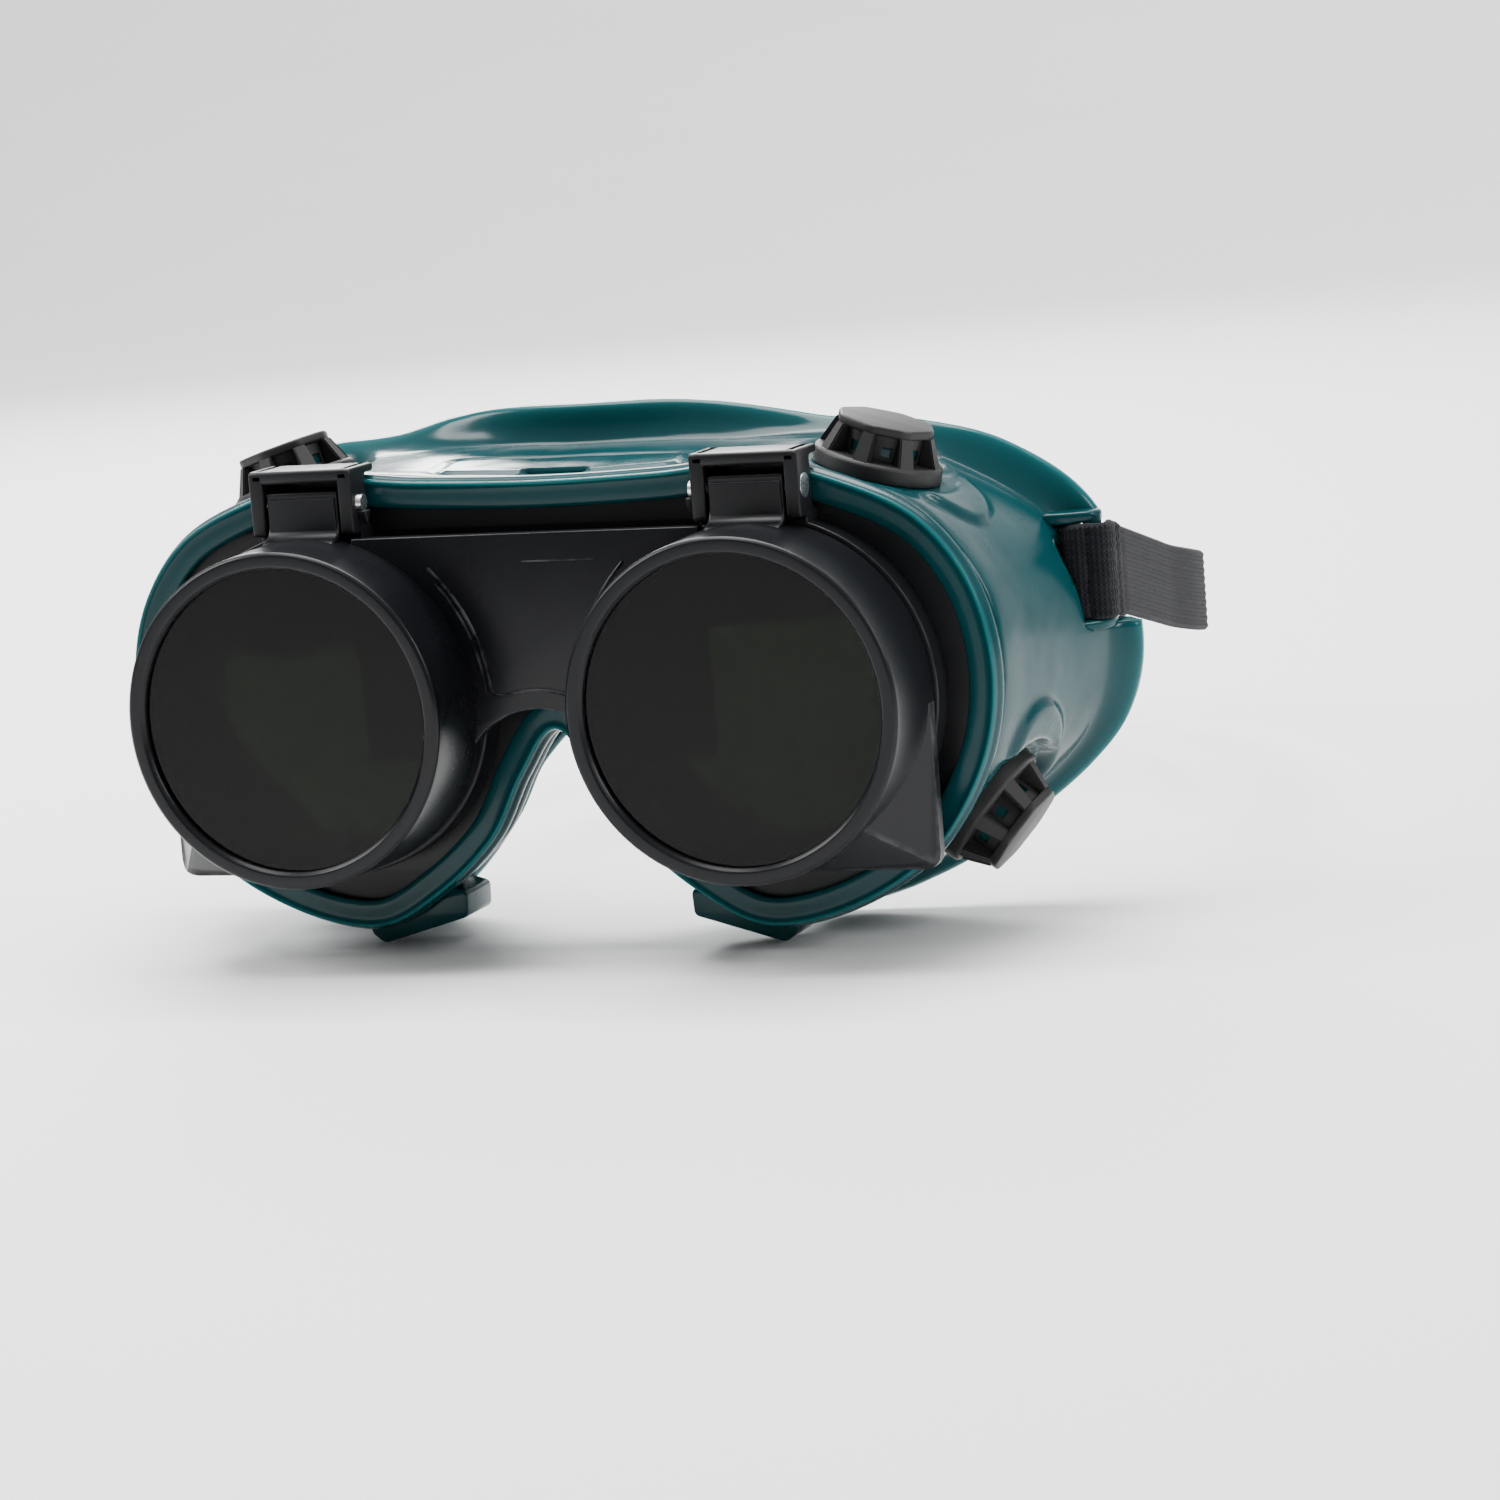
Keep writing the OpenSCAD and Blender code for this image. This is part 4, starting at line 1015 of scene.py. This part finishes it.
# the sleeve's rings from its foot up; three steps in ten are left open between the second and third
SLEEVE_STEPS, SLEEVE_HEIGHTS = 10 * RIBS, (0.2, 3.4, 5.0, RIB_TOP)
for place, side, word in VENTS:
    middle, axis, to_temple = vent_frame(place, side)
    local = standing(middle, axis)
    rib = bmesh.new()
    for k in range(RIBS):
        turn = Matrix.Rotation(2 * pi * k / RIBS, 4, "Z")
        corners = []
        for height, out, half in RIB_ENDS:
            for reach, width in ((SLEEVE_R - 0.1, half * 0.8), (out, half)):
                corners += [(reach, -width, height), (reach, width, height)]
        points = [rib.verts.new(turn @ Vector(c)) for c in corners]
        for face in RIB_FACES:
            rib.faces.new([points[i] for i in face])
    bmesh.ops.bevel(rib, geom=rib.edges[:], offset=0.22, segments=2, affect="EDGES")
    sleeve = bmesh.new()
    rings = [
        [sleeve.verts.new((*p, height)) for p in arc((0, 0), SLEEVE_R, 0, 360, SLEEVE_STEPS)[:-1]]
        for height in SLEEVE_HEIGHTS
    ]
    for level, (low, high) in enumerate(zip(rings, rings[1:])):
        for k in range(SLEEVE_STEPS):
            if level != 1 or k % 10 not in (4, 5, 6):
                after = (k + 1) % SLEEVE_STEPS
                sleeve.faces.new((low[k], low[after], high[after], high[k]))
    bmesh.ops.solidify(sleeve, geom=sleeve.faces[:], thickness=SLEEVE_T)
    parts = [
        turned_mesh(band, middle, axis, 96),
        plate_mesh([roof], ROOF_T, 0.4, local @ Matrix.Translation((0, 0, VENT_H - ROOF_T / 2))),
        settle(worked_mesh(rib), local), settle(worked_mesh(sleeve), local),
    ]
    cap = dress(merge(parts), f"vent_cap_{place}_{word}_moulding", "mask", cap_grey)
    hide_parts(f"vent_cap_{place}_{word}")
    finish_node(f"vent_baffle_{place}_{word}", ring_black, 0.15)

# ----------
# Head strap.
# Ribbed woven elastic, 14 mm wide: each end turns round the bar of its lug and lies back on
# itself, bunched where it leaves the bar, and the wearer's right end is held by the slide.
HALF_HEAD = 74.5
STRAIGHT, SETTLE = 54, 11
WRAP_R = BAR_R + 0.3 + STRAP_T / 2
LAYER_GAP = 0.2
STRAP_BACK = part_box("head_strap")[1].y / MM - STRAP_T / 2
LEAN = (HALF_HEAD - BAR_X - WRAP_R) / STRAIGHT
HEAD_Y = LUG_Y + STRAIGHT
SHORT_TAIL, LONG_TAIL = 18, 46
SLOPE, SLOPE_FROM = 0.2, LUG_Y + 2
TAIL_LAY = WRAP_R - STRAP_T - LAYER_GAP


# the turn round the bar, gathered into two folds that fill the lug's pocket
GATHERED = (
    (-WRAP_R - 1.5, 1.2), (-WRAP_R - 1.5, -0.9), (-WRAP_R - 0.2, -WRAP_R - 0.2), (-1.1, -WRAP_R - 0.5),
    (-0.3, -WRAP_R + 0.4), (0.5, -WRAP_R - 0.2), (WRAP_R - 0.5, -WRAP_R + 0.3), (WRAP_R + 0.1, 0),
)


def beside_head(layer, along):
    """A point of the straight stretch, along from the bar, on a layer that far out."""
    return BAR_X + LEAN * along + layer, LUG_Y + along


def tail_layer(along):
    """How far out the tail lies: inside at the bar, close under the strap past SETTLE."""
    inner = -WRAP_R - 1.5
    return TAIL_LAY if along >= SETTLE else inner + (TAIL_LAY - inner) * (along / SETTLE) ** 2


def end_route(tail):
    """One end of the strap seen from above: its tail, the turn round the bar, and the way back."""
    out = [beside_head(tail_layer(d), d) for d in (tail, 0.6 * tail + 2, SETTLE, 7, 3.5)]
    out += [(BAR_X + along_x, LUG_Y + along_y) for along_x, along_y in GATHERED]
    return out + [beside_head(WRAP_R + bunch, d) for bunch, d in
                  ((-0.35, 2.6), (0.15, 4.6), (-0.25, 7), (0, 10), (0, 14), (0, 30), (0, 44))]


head_half = [
    (HALF_HEAD * cos(radians(a)), HEAD_Y + (STRAP_BACK - HEAD_Y) * sin(radians(a)))
    for a in range(0, 90, 10)
]
route = end_route(SHORT_TAIL) + head_half + [(0, STRAP_BACK)]
route += [(-px, py) for px, py in reversed(end_route(LONG_TAIL) + head_half)]
route = [Vector(p) for p in route]
STRAP_PITCH = 0.9
fine = []
for i in range(len(route) - 1):
    near_by = [route[min(max(i + k, 0), len(route) - 1)] for k in (-1, 0, 1, 2)]
    pieces = max(2, ceil((near_by[2] - near_by[1]).length / STRAP_PITCH))
    fine += [curve_point(*near_by, k / pieces) for k in range(pieces)]
fine.append(route[-1])


def strap_height(y):
    """The strap's middle: level in the lug, a straight slope, then easing to level behind the head."""
    down, easing = max(0, y - SLOPE_FROM), max(0, y - HEAD_Y)
    eased = easing - easing**2 / (2 * (STRAP_BACK - HEAD_Y))
    return LUG_Z - SLOPE * (min(down, HEAD_Y - SLOPE_FROM) + eased)


CORDS, PER_CORD, CORD_DEEP = 10, 6, 0.16
EDGE_FROM, EDGE_SPAN, EDGE_LOSS = 0.94, 0.06, 0.45
across = np.linspace(-1, 1, CORDS * PER_CORD + 1)
face_shape = [
    (a * STRAP_W / 2, STRAP_T / 2 * (1 - max(0, abs(a) - EDGE_FROM) / EDGE_SPAN * EDGE_LOSS)
     - CORD_DEEP * (0.5 + 0.5 * cos(2 * pi * (a + 1) / 2 * CORDS))) for a in across
]
section = face_shape + [(w, -t) for w, t in reversed(face_shape)]
# the bunching near each bar: how far it reaches, its ripple, and how much wider and thicker it gets
BUNCH_REACH, RIPPLE, WIDER, THICKER = 10, 0.35, 0.11, 0.15
points, lengths, travelled = [], [], 0.0
for i, here in enumerate(fine):
    ahead = fine[min(i + 1, len(fine) - 1)] - fine[max(i - 1, 0)]
    side_way = Vector((-ahead.y, ahead.x)).normalized()
    if i:
        travelled += (here - fine[i - 1]).length
    lengths.append(travelled)
    near_bar = max(0, 1 - hypot(abs(here.x) - BAR_X, here.y - LUG_Y) / BUNCH_REACH)
    for w, t in section:
        ripple = RIPPLE * near_bar * noise.noise(Vector((w * 0.35, travelled * 0.4, 3)))
        spot = here + side_way * (t * (1 + THICKER * near_bar) + ripple)
        points.append((spot.x, spot.y, strap_height(here.y) + w * (1 + WIDER * near_bar)))
stations, around = len(fine), len(section)
faces = grid_faces(stations, around, False, True)
faces += [tuple(range(around)), tuple((stations - 1) * around + k for k in range(around - 1, -1, -1))]
elastic, tree, shader = new_material(
    "strap_elastic", Sheen_Weight=0.04, Sheen_Roughness=0.5, Specular_IOR_Level=0.1)
layout = put(tree, "UVMap", uv_map="run").outputs["UV"]
run_along = put(tree, "SeparateXYZ", Vector=layout).outputs
PICKS_PER_MM = 1.7
pick = math_node("SINE", math_node("MULTIPLY", run_along["X"], 2 * pi * PICKS_PER_MM))
cord_wave = math_node("SINE", math_node("MULTIPLY", run_along["Y"], 2 * pi * CORDS * 2))
weave = math_node("ADD", pick, math_node("MULTIPLY", pick, cord_wave))
fuzz = noise_value(own_place(tree), 2.2, 4.0)
height = math_node("ADD", weave, fuzz)
feed(shader, Base_Color=mix_colour(
    map_value(height, -1.0, 2.2), (0.004, 0.0042, 0.0055), (0.015, 0.0155, 0.019)),
    Roughness=map_value(fuzz, 0.3, 0.7, 0.75, 0.95), Normal=bumped(height, 0.05, 0.8))
strap = dress(
    new_mesh("webbing", points, faces), "head_strap_webbing", "mask", elastic, 75)
run = strap.data.uv_layers.new(name="run")
UV_ACROSS = [k / (len(face_shape) - 1) for k in range(len(face_shape))]
UV_ACROSS += UV_ACROSS[::-1]
for loop in strap.data.loops:
    station, spot_at = divmod(loop.vertex_index, around)
    run.data[loop.index].uv = (lengths[min(station, stations - 1)], UV_ACROSS[spot_at])
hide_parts("head_strap")

# ----------
# Strap slide.
# A black plastic loop with two windows and a bar between them, threaded on both layers of the
# strap on the wearer's right; it slides along to set the length.
slide_black = black_plastic(
    "slide_black", (0.004, 0.004, 0.0045), wear_and_highlight=(0.03, 0.03, 0.03), rough=0.4, peel=0.5)
finish_node("strap_slider", slide_black, 0.35)
